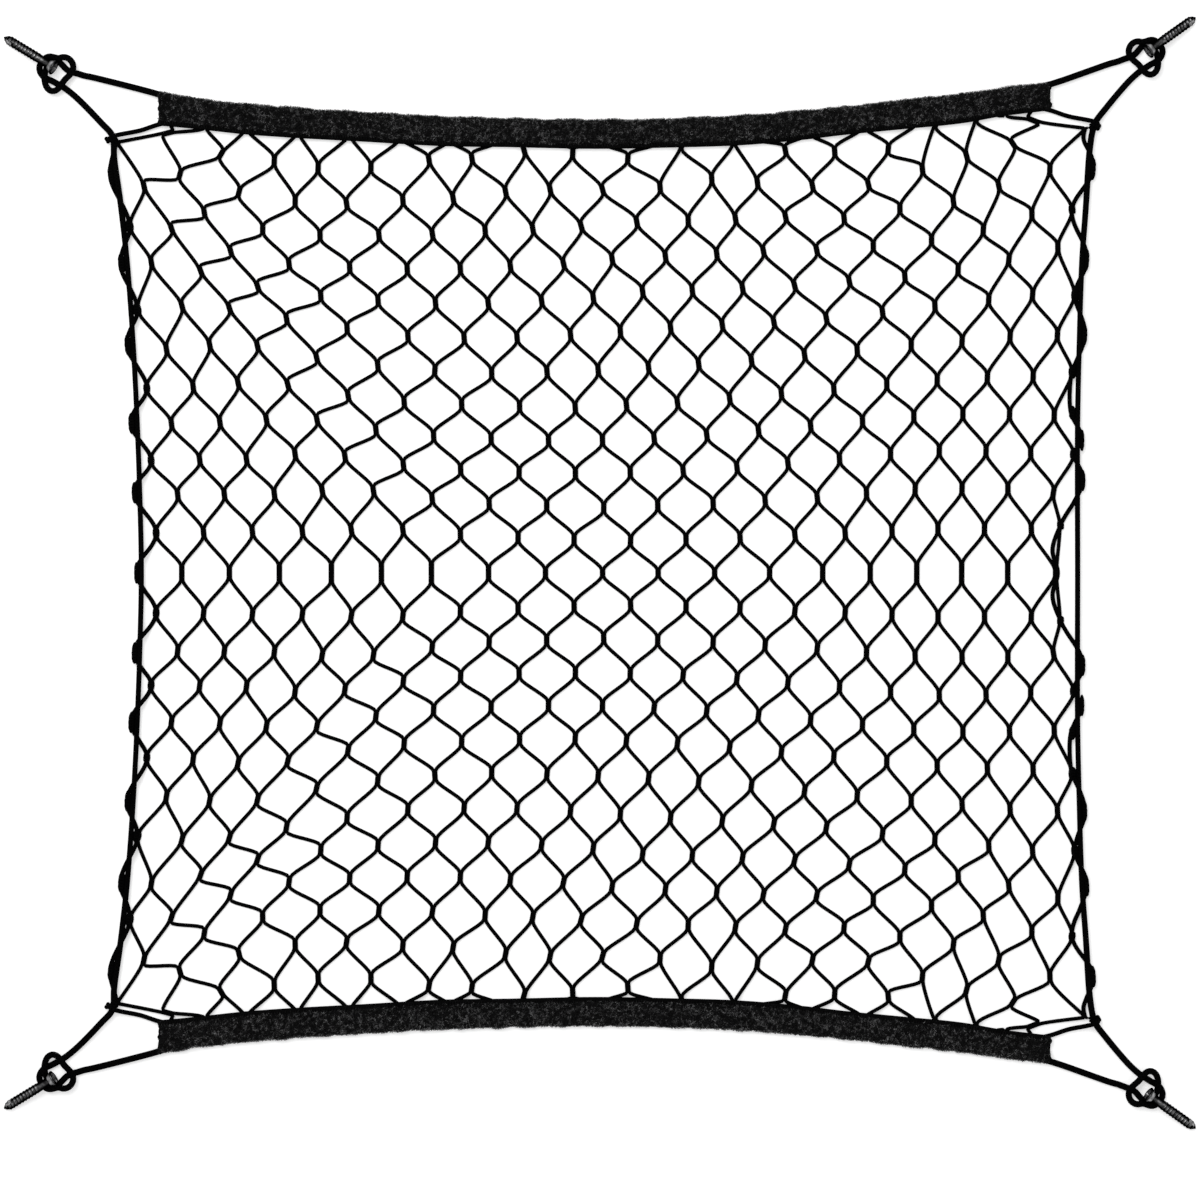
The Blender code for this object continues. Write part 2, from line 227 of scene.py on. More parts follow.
def ripple(places: Array, scale: float, seed: int) -> Array:
    """Soft repeatable noise between about -1 and 1.

    Args:
        places: Points, one in each row.
        scale: Size of the noise's bumps.
        seed: Which noise.

    Returns:
        One value for each point.
    """
    waves, shortest, longest, usual_peak = 7, 0.7, 1.6, 2.6
    draw = np.random.default_rng(seed)
    total = np.zeros(len(places))
    for _ in range(waves):
        direction = unit(draw.normal(size=places.shape[1]))
        wave = TURN / (scale * draw.uniform(shortest, longest))
        total += np.sin(places @ direction * wave + draw.uniform(0.0, TURN))
    return total / usual_peak


class MeshDraft:
    """Points, faces and cloth coordinates gathered for one mesh."""

    def __init__(self) -> None:
        """Begin with nothing."""
        self._points: list[Array] = []
        self._faces: list[Array] = []
        self._cloth: list[Array] = []
        self._count = 0

    def add_points(self, points: Array) -> int:
        """Add places.

        Args:
            points: Places, one in each row.

        Returns:
            The index of the first one.
        """
        first = self._count
        self._points.append(points)
        self._count += len(points)
        return first

    def add_faces(self, faces: Array, cloth: Array) -> None:
        """Add faces that have the same number of corners.

        Args:
            faces: Indices of each face's corners.
            cloth: Two coordinates on the surface for each corner of each face.
        """
        self._faces.append(faces)
        self._cloth.append(cloth)

    def add_grid(self, grid: Array, cloth: Array, flip: bool = False) -> int:
        """Add rows and columns of places, joined by faces with four corners.

        Args:
            grid: Places by row and column.
            cloth: Cloth coordinates by row and column, with one more of either where the
                last leads back to the first.
            flip: Whether the faces look the other way.

        Returns:
            The index of the first place.
        """
        rows, columns = grid.shape[:2]
        row, column = np.mgrid[: cloth.shape[0] - 1, : cloth.shape[1] - 1]
        corners = [(row, column), (row + 1, column), (row + 1, column + 1), (row, column + 1)]
        if flip:
            corners.reverse()
        faces = np.stack([(r % rows) * columns + c % columns for r, c in corners], axis=-1)
        on_cloth = np.stack([cloth[r, c] for r, c in corners], axis=2)
        first = self.add_points(grid.reshape(-1, 3))
        self.add_faces(faces.reshape(-1, 4) + first, on_cloth.reshape(-1, 4, 2))
        return first

    def add_fan(self, ring: Array, hub: Array, flip: bool) -> None:
        """Close a ring of places with triangles around a new one.

        Args:
            ring: Indices of the ring's places.
            hub: The new place.
            flip: Whether the triangles look the other way.
        """
        middle = np.full(len(ring), self.add_points(hub[None]))
        following = np.roll(ring, -1)
        corners = (middle, following, ring) if flip else (middle, ring, following)
        self.add_faces(np.stack(corners, axis=-1), np.zeros((len(ring), 3, 2)))

    def add_tube(
        self, path: Array, radii: Any, sides: int, closed: bool = False,
        flatness: float = 1.0, level: float = 0.0,
    ) -> None:
        """Add a tube around a path, closed at its ends.

        Args:
            path: Its middle line.
            radii: Radius, one for all or one for each point.
            sides: Number of faces around it.
            closed: Whether the path runs back into itself.
            flatness: Height of the section as a share of its width.
            level: Height over the ground that no point goes under.
        """
        if closed:
            along = unit(np.roll(path, -1, axis=0) - np.roll(path, 1, axis=0))
        else:
            along = unit(np.gradient(path, axis=0))
        across = unit(np.cross(along, UP))
        above = np.cross(across, along) * flatness
        turn = (TURN * np.arange(sides) / sides)[:, None]
        reach = np.broadcast_to(np.asarray(radii, float), (len(path),))[:, None, None]
        ring = path[:, None] + reach * (across[:, None] * np.cos(turn) + above[:, None] * np.sin(turn))
        ring[..., 2] = np.maximum(ring[..., 2], level)
        route = np.concatenate((path, path[:1])) if closed else path
        runs = np.concatenate(([0.0], np.cumsum(np.linalg.norm(np.diff(route, axis=0), axis=1))))
        cloth = np.stack(np.meshgrid(runs, np.arange(sides + 1) / sides, indexing="ij"), axis=-1)
        first = self.add_grid(ring, cloth)
        if not closed:
            last = first + (len(path) - 1) * sides
            self.add_fan(first + np.arange(sides), path[0], False)
            self.add_fan(last + np.arange(sides), path[-1], True)

    def build(self, name: str, finish: Material, smooth: bool = True) -> Object:
        """Make the object.

        Args:
            name: Its name.
            finish: Its material.
            smooth: Whether faces are shaded as one curved surface.

        Returns:
            The object, in metres.
        """
        points = np.concatenate(self._points) * MM
        sizes = np.concatenate([np.full(len(faces), faces.shape[1]) for faces in self._faces])
        corners = np.concatenate([faces.ravel() for faces in self._faces])
        cloth = np.concatenate([values.reshape(-1, 2) for values in self._cloth])
        mesh = bpy.data.meshes.new(name)
        mesh.vertices.add(len(points))
        mesh.vertices.foreach_set("co", points.astype(np.float32).ravel())
        mesh.loops.add(len(corners))
        mesh.loops.foreach_set("vertex_index", corners.astype(np.int32))
        mesh.polygons.add(len(sizes))
        starts = np.concatenate(([0], np.cumsum(sizes)[:-1]))
        mesh.polygons.foreach_set("loop_start", starts.astype(np.int32))
        mesh.uv_layers.new(name="cloth")
        mesh.uv_layers["cloth"].data.foreach_set("uv", cloth.astype(np.float32).ravel())
        mesh.update(calc_edges=True)
        if smooth:
            mesh.shade_smooth()
        mesh.materials.append(finish)
        made = bpy.data.objects.new(name, mesh)
        bpy.context.scene.collection.objects.link(made)
        return made


# --- Materials --------------------------------------------


class Wiring:
    """Adds nodes to a tree and joins them."""

    def __init__(self, tree: NodeTree) -> None:
        """Work in one tree.

        Args:
            tree: The tree that gets the nodes.
        """
        self.tree = tree
        self._made = 0

    def add(self, kind: str, settings: dict[str, Any] | None = None, **inputs: Any) -> Node:
        """Add a node.

        Args:
            kind: Its type.
            settings: Its properties.
            **inputs: A value or an output for each input, with _ for a space in its name.

        Returns:
            The node.
        """
        node = self.tree.nodes.new(kind)
        node.location = (220 * (self._made // 4), -200 * (self._made % 4))
        self._made += 1
        for name, value in (settings or {}).items():
            setattr(node, name, value)
        for name, value in inputs.items():
            self.feed(node.inputs[name.replace("_", " ")], value)
        return node

    def feed(self, socket: NodeSocket, value: Any) -> None:
        """Join an output to a socket, or set the socket.

        Args:
            socket: The input.
            value: An output or a plain value.
        """
        if isinstance(value, NodeSocket):
            self.tree.links.new(value, socket)
        else:
            socket.default_value = value

    def calculate(self, kind: str, *values: Any) -> NodeSocket:
        """Work out one number from others.

        Args:
            kind: The operation of a Math node.
            *values: Its inputs in order.

        Returns:
            The output.
        """
        node = self.add("ShaderNodeMath", {"operation": kind})
        for socket, value in zip(node.inputs, values):
            self.feed(socket, value)
        return node.outputs[0]

    def ramp(self, value: Any, low: float, high: float, first: float, last: float) -> NodeSocket:
        """Map a number from one range to another, with soft ends.

        Args:
            value: The number.
            low: Its low end.
            high: Its high end.
            first: What the low end becomes.
            last: What the high end becomes.

        Returns:
            The output.
        """
        settings = {"interpolation_type": "SMOOTHSTEP"}
        ends = {"From_Min": low, "From_Max": high, "To_Min": first, "To_Max": last}
        return self.add("ShaderNodeMapRange", settings, **ends, Value=value).outputs["Result"]

    def blend(self, share: Any, first: Any, second: Any) -> NodeSocket:
        """Mix two colours.

        Args:
            share: Share of the second, from 0 to 1.
            first: The colour at 0.
            second: The colour at 1.

        Returns:
            The mixed colour.
        """
        node = self.add("ShaderNodeMix", {"data_type": "RGBA"})
        self.feed(node.inputs["Factor"], share)
        self.feed(node.inputs["A"], first)
        self.feed(node.inputs["B"], second)
        return node.outputs["Result"]


def new_group(name: str, inputs: dict[str, Any], outputs: tuple[str, ...]) -> tuple[Wiring, dict, dict]:
    """Start a shader node group.

    Args:
        name: Its name.
        inputs: Each input's name, with a default number, or None for a vector.
        outputs: Names of its outputs, all of them numbers.

    Returns:
        Its wiring, its inputs as outputs of the inner node, and its outputs as sockets.
    """
    tree = bpy.data.node_groups.new(name, "ShaderNodeTree")
    for label, value in inputs.items():
        kind = "NodeSocketVector" if value is None else "NodeSocketFloat"
        socket = tree.interface.new_socket(name=label, in_out="INPUT", socket_type=kind)
        if value is not None:
            socket.default_value = value
    for label in outputs:
        tree.interface.new_socket(name=label, in_out="OUTPUT", socket_type="NodeSocketFloat")
    wiring = Wiring(tree)
    inner = wiring.add("NodeGroupInput")
    outer = wiring.add("NodeGroupOutput")
    return wiring, {k: inner.outputs[k] for k in inputs}, {k: outer.inputs[k] for k in outputs}


# Usual scales of the lint's patches and flecks
PATCH_SCALE = 60.0
FLECK_SCALE = 900.0


class Effects:
    """The shader groups that several materials share, each built once."""

    def __init__(self) -> None:
        """Build the groups."""
        self.plait = self._plait()
        self.lint = self._lint()

    def add_lint(self, wiring: Wiring, patch: float = PATCH_SCALE, fleck: float = FLECK_SCALE) -> Node:
        """Place the lint group in a material.

        Args:
            wiring: The material's wiring.
            patch: Scale of its patches.
            fleck: Scale of its flecks.

        Returns:
            The node.
        """
        place = wiring.add("ShaderNodeTexCoord").outputs["Object"]
        group = {"node_tree": self.lint}
        return wiring.add("ShaderNodeGroup", group, Place=place, Patch=patch, Fleck=fleck)

    @staticmethod
    def _plait() -> ShaderNodeTree:
        """Yarns that run around a cord both ways, over and under each other.

        Returns:
            The group.
        """
        wiring, given, result = new_group(
            "plait", {"Cloth": None, "Pitch": 3.0, "Yarns": 4.0}, ("Height", "Groove")
        )
        parts = wiring.add("ShaderNodeSeparateXYZ", Vector=given["Cloth"])
        along = wiring.calculate("DIVIDE", parts.outputs["X"], given["Pitch"])
        around = wiring.calculate("MULTIPLY", parts.outputs["Y"], given["Yarns"])
        waves = []
        for kind in ("ADD", "SUBTRACT"):
            turn = wiring.calculate("MULTIPLY", wiring.calculate(kind, along, around), TURN)
            waves.append(wiring.calculate("MULTIPLY_ADD", wiring.calculate("SINE", turn), 0.5, 0.5))
        height = wiring.calculate("MAXIMUM", *waves)
        wiring.feed(result["Height"], height)
        wiring.feed(result["Groove"], wiring.ramp(height, 0.45, 0.8, 1.0, 0.0))
        return wiring.tree

    @staticmethod
    def _lint() -> ShaderNodeTree:
        """Patches of lighter and darker cloth, with fine flecks on them.

        Returns:
            The group.
        """
        wiring, given, result = new_group(
            "lint", {"Place": None, "Patch": PATCH_SCALE, "Fleck": FLECK_SCALE}, ("Patches", "Flecks")
        )
        patches = wiring.add("ShaderNodeTexNoise", Vector=given["Place"], Scale=given["Patch"], Detail=3.0)
        flecks = wiring.add("ShaderNodeTexNoise", Vector=given["Place"], Scale=given["Fleck"], Detail=2.0)
        wiring.feed(result["Patches"], wiring.ramp(patches.outputs["Fac"], 0.35, 0.65, 0.0, 1.0))
        wiring.feed(result["Flecks"], wiring.ramp(flecks.outputs["Fac"], 0.45, 0.72, 0.0, 1.0))
        return wiring.tree


def start_material(name: str) -> tuple[Material, Wiring, Node]:
    """Start a material.

    Args:
        name: Its name.

    Returns:
        The material, its wiring and its Principled shader.
    """
    made = bpy.data.materials.new(name)
    made.use_nodes = True
    return made, Wiring(made.node_tree), made.node_tree.nodes["Principled BSDF"]


def split_cloth(wiring: Wiring) -> list[NodeSocket]:
    """The two cloth coordinates of a surface, each as a number."""
    cloth = wiring.add("ShaderNodeUVMap", {"uv_map": "cloth"}).outputs["UV"]
    return wiring.add("ShaderNodeSeparateXYZ", Vector=cloth).outputs[:2]


@dataclass(frozen=True)
class PlaitedFinish:
    """A plaited or knitted yarn sleeve.

    Attributes:
        name: The material's name.
        pitch: Length of one pattern, in millimetres.
        yarns: Patterns around the cord.
        relief: Depth of the pattern, in metres.
        gloss: Strength of its reflections.
        dark: Colour in the grooves, a painted shade.
        light: Colour on the crowns of the yarns, lighter than the painted shade in the grooves.
        worn: Share of the crowns' colour that is left in dark patches.
        fleck: How much flecks of lint lighten it.
        roughness: Roughness on the crowns.
        groove_roughness: Roughness in the grooves.
        bump: Strength of the relief.
    """

    name: str
    pitch: float
    yarns: float
    relief: float
    gloss: float = 0.008
    dark: Colour = (0.0004, 0.0004, 0.00045, 1.0)
    light: Colour = (0.0024, 0.0024, 0.0026, 1.0)
    worn: float = 0.6
    fleck: float = 0.25
    roughness: float = 0.7
    groove_roughness: float = 0.95
    bump: float = 0.9

    def make(self, effects: Effects) -> Material:
        """Build the material.

        Args:
            effects: The shared groups.

        Returns:
            The material.
        """
        made, wiring, shader = start_material(self.name)
        cloth = wiring.add("ShaderNodeUVMap", {"uv_map": "cloth"}).outputs["UV"]
        group = {"node_tree": effects.plait}
        plait = wiring.add("ShaderNodeGroup", group, Cloth=cloth, Pitch=self.pitch, Yarns=self.yarns)
        height = plait.outputs["Height"]
        lint = effects.add_lint(wiring)
        patches = wiring.ramp(lint.outputs["Patches"], 0.0, 1.0, self.worn, 1.0)
        # Painted shade: the colour darkens into the grooves between the yarns, with patches and flecks of
        # lint as the cord's own tone.
        crown = wiring.calculate("MULTIPLY", height, patches)
        share = wiring.calculate("MULTIPLY_ADD", lint.outputs["Flecks"], self.fleck, crown)
        wiring.feed(shader.inputs["Base Color"], wiring.blend(share, self.dark, self.light))
        rough = wiring.ramp(plait.outputs["Groove"], 0.0, 1.0, self.roughness, self.groove_roughness)
        wiring.feed(shader.inputs["Roughness"], rough)
        bump = wiring.add("ShaderNodeBump", Strength=self.bump, Distance=self.relief, Height=height)
        wiring.feed(shader.inputs["Normal"], bump.outputs["Normal"])
        shader.inputs["Specular IOR Level"].default_value = self.gloss
        return made


@dataclass(frozen=True)
class FleeceFinish:
    """The ground of the fleece, under its pile.

    Attributes:
        name: The material's name.
        dark: Colour in the hollows between tufts, a painted shade.
        light: Colour on the crowns of the lighter tufts, lighter than the painted shade in the hollows.
        patch: Scale of its patches.
        tuft: Scale of its tufts.
        roughness: Roughness in the hollows and on the tufts.
        bump: Strength of the tufts' relief.
        relief: Depth of the tufts, in metres.
        gloss: Strength of its reflections.
    """

    name: str = "fleece_ground"
    dark: Colour = (0.004, 0.004, 0.0041, 1.0)
    light: Colour = (0.02, 0.02, 0.0205, 1.0)
    patch: float = 240.0
    tuft: float = 1400.0
    roughness: tuple[float, float] = (0.98, 0.85)
    bump: float = 0.8
    relief: float = 0.0004
    gloss: float = 0.05

    def make(self, effects: Effects) -> Material:
        """Build the material.

        Args:
            effects: The shared groups.

        Returns:
            The material.
        """
        made, wiring, shader = start_material(self.name)
        lint = effects.add_lint(wiring, self.patch, self.tuft)
        tufts = lint.outputs["Flecks"]
        # Painted shade: the colour darkens into the hollows of the tufts' relief, and patches give the cloth
        # its own lighter and darker tone.
        share = wiring.calculate("MULTIPLY", lint.outputs["Patches"], tufts)
        wiring.feed(shader.inputs["Base Color"], wiring.blend(share, self.dark, self.light))
        wiring.feed(shader.inputs["Roughness"], wiring.ramp(share, 0.0, 1.0, *self.roughness))
        bump = wiring.add("ShaderNodeBump", Strength=self.bump, Distance=self.relief, Height=tufts)
        wiring.feed(shader.inputs["Normal"], bump.outputs["Normal"])
        shader.inputs["Specular IOR Level"].default_value = self.gloss
        return made


@dataclass(frozen=True)
class PileFinish:
    """The fibres of the fleece: dark at the root, lighter at the tip.

    Attributes:
        name: The material's name.
        root: Colour at the root.
        tip: Colour at the tip of a dark fibre.
        bright_tip: Colour at the tip of a bright fibre; the brightness holds painted light and shade besides
            the tuft's own tone.
        patch: Scale of its patches.
        dull: Share of the brightness that is left in dark patches.
        darkest: Brightness up to which a fibre is dark.
        tip_start: Share of a fibre's length at which its tip's colour is reached.
        roughness: Roughness of dark and of light fibres.
        gloss: Strength of its reflections.
    """

    name: str = "fleece_pile"
    root: Colour = (0.004, 0.004, 0.0042, 1.0)
    tip: Colour = (0.006, 0.006, 0.0062, 1.0)
    bright_tip: Colour = (0.25, 0.25, 0.254, 1.0)
    patch: float = 260.0
    dull: float = 0.7
    darkest: float = 0.1
    tip_start: float = 0.6
    roughness: tuple[float, float] = (0.75, 0.5)
    gloss: float = 0.2

    def make(self, effects: Effects) -> Material:
        """Build the material.

        The first cloth coordinate runs along a fibre from 0 to 1. The second is its brightness, with painted
        light and shade in it.

        Args:
            effects: The shared groups.

        Returns:
            The material.
        """
        made, wiring, shader = start_material(self.name)
        along, brightness = split_cloth(wiring)
        lint = effects.add_lint(wiring, self.patch)
        patches = wiring.ramp(lint.outputs["Patches"], 0.0, 1.0, self.dull, 1.0)
        # The brightness, with its painted light and shade, picks the tip's colour.
        bright = wiring.calculate("MULTIPLY", brightness, patches)
        tip = wiring.blend(wiring.ramp(bright, self.darkest, 1.0, 0.0, 1.0), self.tip, self.bright_tip)
        reach = wiring.ramp(along, 0.0, self.tip_start, 0.0, 1.0)
        wiring.feed(shader.inputs["Base Color"], wiring.blend(reach, self.root, tip))
        wiring.feed(shader.inputs["Roughness"], wiring.ramp(brightness, 0.0, 1.0, *self.roughness))
        shader.inputs["Specular IOR Level"].default_value = self.gloss
        return made


@dataclass(frozen=True)
class SteelFinish:
    """Blackened steel with a painted highlight where it faces the eye, and bare steel in places, which on
    the screw head's face and cone is a painted highlight too.

    Attributes:
        name: The material's name.
        black: Colour of the blackened steel.
        painted_highlight: Colour of the painted highlight where a face turns towards the eye.
        bare_and_highlight: Colour of the bare steel, which on the head's face and cone is a painted
            highlight.
        tint: Colour of its reflections at a grazing angle.
        patch: Scale of its patches.
        highlight_turn: How far a face may turn from the eye, with the painted highlight full and with none.
        dull_highlight: Share of the painted highlight that is left in dark patches.
        bare_levels: Levels of the second cloth coordinate at which the bare steel begins to show and fully
            shows.
        dull_bare: Share of the bare steel that is left in dark patches.
        roughness: Roughness between flecks and on them.
        bump: Strength of the flecks' relief.
        relief: Depth of the flecks, in metres.
    """

    name: str = "blackened_steel"
    black: Colour = (0.004, 0.004, 0.0042, 1.0)
    painted_highlight: Colour = (0.2, 0.2, 0.203, 1.0)
    bare_and_highlight: Colour = (0.4, 0.4, 0.405, 1.0)
    tint: Colour = (0.015, 0.015, 0.015, 1.0)
    patch: float = 420.0
    highlight_turn: tuple[float, float] = (0.02, 0.24)
    dull_highlight: float = 0.3
    bare_levels: tuple[float, float] = (1.2, 2.0)
    dull_bare: float = 0.5
    roughness: tuple[float, float] = (0.3, 0.45)
    bump: float = 0.3
    relief: float = 0.00006

    def make(self, effects: Effects) -> Material:
        """Build the material. The second cloth coordinate is 1 on crests and 2 where bare steel shows, which
        on the head's face and cone is a painted highlight.

        Args:
            effects: The shared groups.

        Returns:
            The material.
        """
        made, wiring, shader = start_material(self.name)
        _, wear_and_highlight = split_cloth(wiring)
        lint = effects.add_lint(wiring, self.patch)
        patches, flecks = lint.outputs["Patches"], lint.outputs["Flecks"]
        # Painted highlight: the colour turns lighter where a face looks towards the eye, in place of a
        # reflection.
        turned = wiring.add("ShaderNodeLayerWeight", Blend=0.5)
        facing = wiring.ramp(turned.outputs["Facing"], *self.highlight_turn, 1.0, 0.0)
        highlight_share = wiring.calculate("MULTIPLY", facing, wiring.ramp(patches, 0.0, 1.0, self.dull_highlight, 1.0))
        # Bare steel at the flute, and on the head's face and cone a painted highlight in its colour.
        worn = wiring.ramp(wear_and_highlight, *self.bare_levels, 0.0, 1.0)
        bare = wiring.calculate("MULTIPLY", worn, wiring.ramp(patches, 0.0, 1.0, self.dull_bare, 1.0))
        steel = wiring.blend(highlight_share, self.black, self.painted_highlight)
        wiring.feed(shader.inputs["Base Color"], wiring.blend(bare, steel, self.bare_and_highlight))
        wiring.feed(shader.inputs["Roughness"], wiring.ramp(flecks, 0.0, 1.0, *self.roughness))
        shader.inputs["Metallic"].default_value = 1.0
        shader.inputs["Specular Tint"].default_value = self.tint
        bump = wiring.add("ShaderNodeBump", Strength=self.bump, Distance=self.relief, Height=flecks)
        wiring.feed(shader.inputs["Normal"], bump.outputs["Normal"])
        return made


@dataclass(frozen=True)
class FloorFinish:
    """A plain pale floor.

    Attributes:
        name: The material's name.
        colour: Its colour.
        glow: Light from below, as on a light table.
        roughness: Roughness in dark and in light patches.
        gloss: Strength of its reflections.
    """

    name: str = "pale_floor"
    colour: Colour = (0.9, 0.9, 0.9, 1.0)
    glow: float = 0.5
    roughness: tuple[float, float] = (0.7, 0.8)
    gloss: float = 0.1

    def make(self, effects: Effects) -> Material:
        """Build the material.

        Args:
            effects: The shared groups.

        Returns:
            The material.
        """
        made, wiring, shader = start_material(self.name)
        patches = effects.add_lint(wiring).outputs["Patches"]
        shader.inputs["Base Color"].default_value = self.colour
        wiring.feed(shader.inputs["Roughness"], wiring.ramp(patches, 0.0, 1.0, *self.roughness))
        shader.inputs["Specular IOR Level"].default_value = self.gloss
        shader.inputs["Emission Color"].default_value = self.colour
        shader.inputs["Emission Strength"].default_value = self.glow
        return made


@dataclass(frozen=True)
class Finishes:
    """Every material, made once.

    Attributes:
        twine: The net's twines and knots.
        selvedge: The doubled edge twines and the corner ties.
        sleeve: The edge cord's plaited sleeve.
        ground: The hems' cloth, under its pile.
        pile: The hems' fibres.
        thread: The hems' sewing thread.
        steel: The screws.
        floor: The studio's floor.
    """

    twine: Material
    selvedge: Material
    sleeve: Material
    ground: Material
    pile: Material
    thread: Material
    steel: Material
    floor: Material

    @staticmethod
    def make() -> "Finishes":
        """Make every material.

        Returns:
            The finishes.
        """
        effects = Effects()
        twine = PlaitedFinish("twine_knit", pitch=1.7, yarns=2.0, relief=0.00025)
        selvedge = PlaitedFinish("selvedge_knit", pitch=1.9, yarns=2.0, relief=0.0003)
        sleeve = PlaitedFinish("cord_plait", pitch=2.4, yarns=4.0, relief=0.0003, gloss=0.006)
        thread = PlaitedFinish("sewing_thread", pitch=0.8, yarns=2.0, relief=0.00005)
        return Finishes(
            twine=twine.make(effects),
            selvedge=selvedge.make(effects),
            sleeve=sleeve.make(effects),
            ground=FleeceFinish().make(effects),
            pile=PileFinish().make(effects),
            thread=thread.make(effects),
            steel=SteelFinish().make(effects),
            floor=FloorFinish().make(effects),
        )


# --- Where everything lies --------------------------------


@dataclass(frozen=True)
class HemLine:
    """The hems' edges.

    Attributes:
        rows: Columns: x, outer edge, inner edge.
    """

    rows: Rows = (
        (-286, 312.7, 290.7), (-271, 310.0, 289.4), (-255, 307.5, 287.7), (-230, 304.9, 285.0),
        (-204, 302.7, 283.1), (-152, 299.3, 280.2), (-100, 296.5, 277.3), (-60, 295.3, 276.7),
        (1, 294.4, 275.6), (45, 295.1, 276.4), (95, 297.4, 278.1), (134, 300.5, 281.6),
        (160, 302.9, 284.7), (199, 307.5, 288.5), (238, 311.7, 292.5), (264, 315.4, 297.1),
        (278, 317.0, 298.8), (293, 318.8, 300.6),
    )

    @property
    def start(self) -> float:
        """Where a hem begins on the left."""
        return self.rows[0][0]

    @property
    def end(self) -> float:
        """Where a hem ends on the right."""
        return self.rows[-1][0]

    def outer(self, x: Any) -> Array:
        """Height of the outer edge over the middle line."""
        return against_first(self.rows, 1).at(x)

    def inner(self, x: Any) -> Array:
        """Height of the inner edge over the middle line."""
        return against_first(self.rows, 2).at(x)


@dataclass(frozen=True)
class CordLine:
    """The side runs of the edge cord.

    Attributes:
        diameter: Thickness of the cord.
        arch_half: Half the width of the arch in which a twine crosses the cord.
        rows: Columns: height over the middle line, left x, right x, height over the ground.
    """

    diameter: float = 3.5
    arch_half: float = 3.6
    rows: Rows = (
        (0, -297.1, 310.7, 3.95), (50, -298.1, 310.6, 3.95), (100, -299.9, 310.7, 3.95),
        (150, -302.5, 311.8, 3.95), (200, -306.2, 313.4, 3.95), (240, -310.6, 316.2, 3.95),
        (270, -314.8, 318.1, 3.95), (280, -315.1, 319.2, 3.95), (285, -316.6, 320.0, 3.95),
        (292, -323.0, 322.0, 3.8), (302, -332.5, 329.4, 3.0),
    )

    @property
    def level(self) -> float:
        """Height of the side runs' middle over the ground."""
        return self.rows[0][3]

    def x(self, side: Side, y: Any) -> Array:
        """Where the cord's middle lies.

        Args:
            side: Which run.
            y: Distance from the middle line, either way.

        Returns:
            Its x.
        """
        y = np.minimum(np.abs(np.asarray(y, float)), self.rows[-1][0])
        return against_first(self.rows, 1 if side is Side.LEFT else 2).at(y)

    def past(self, side: Side, x: Any, y: Any) -> Array:
        """How far a place lies outside the cord's middle.

        Args:
            side: Which run.
            x: Its x.
            y: Its y.

        Returns:
            The distance, below 0 inside the net.
        """
        return side.value * (np.asarray(x, float) - self.x(side, y))

    def arch(self, past: Array, twine_radius: float) -> Array:
        """Height over the cord's middle of a twine that crosses the cord.

        Args:
            past: How far each of its points lies outside the cord's middle.
            twine_radius: Radius of the twine.

        Returns:
            The heights.
        """
        reach = self.diameter / 2.0 + twine_radius
        return reach * np.cos(np.clip(past / self.arch_half, -1.0, 1.0) * math.pi / 2.0)

    def points(self, side: Side, edge: Edge) -> Array:
        """The run's places from a hitch down to the middle line."""
        heights, _, _, levels = np.array(self.rows[::-1], float).T
        return np.stack((self.x(side, heights), edge.value * heights, levels), axis=1)


@dataclass(frozen=True)
class ScrewLine:
    """A screw's head and point on the ground plan of the upper half.

    Attributes:
        head: Middle of the head's face.
        tip: The point.
    """

    head: tuple[float, float]
    tip: tuple[float, float]

    def axes(self, edge: Edge, side: Side) -> tuple[Array, Array, Array]:
        """The head's place, with directions along the screw to the net and across it.

        Args:
            edge: Upper or lower half.
            side: Which end.

        Returns:
            The place and the two directions.
        """
        flip = np.array([1.0, edge.value])
        origin = np.append(np.array(self.head) * flip, 0.0)
        tip = np.append(np.array(self.tip) * flip, 0.0)
        along = unit(origin - tip)
        across = np.array([along[1], -along[0], 0.0]) * -side.value * edge.value
        return origin, along, across


SCREWS = {
    Side.LEFT: ScrewLine(head=(-353.0, 327.3), tip=(-386.4, 347.9)),
    Side.RIGHT: ScrewLine(head=(355.6, 337.9), tip=(387.5, 360.8)),
}


# --- Net --------------------------------------------------


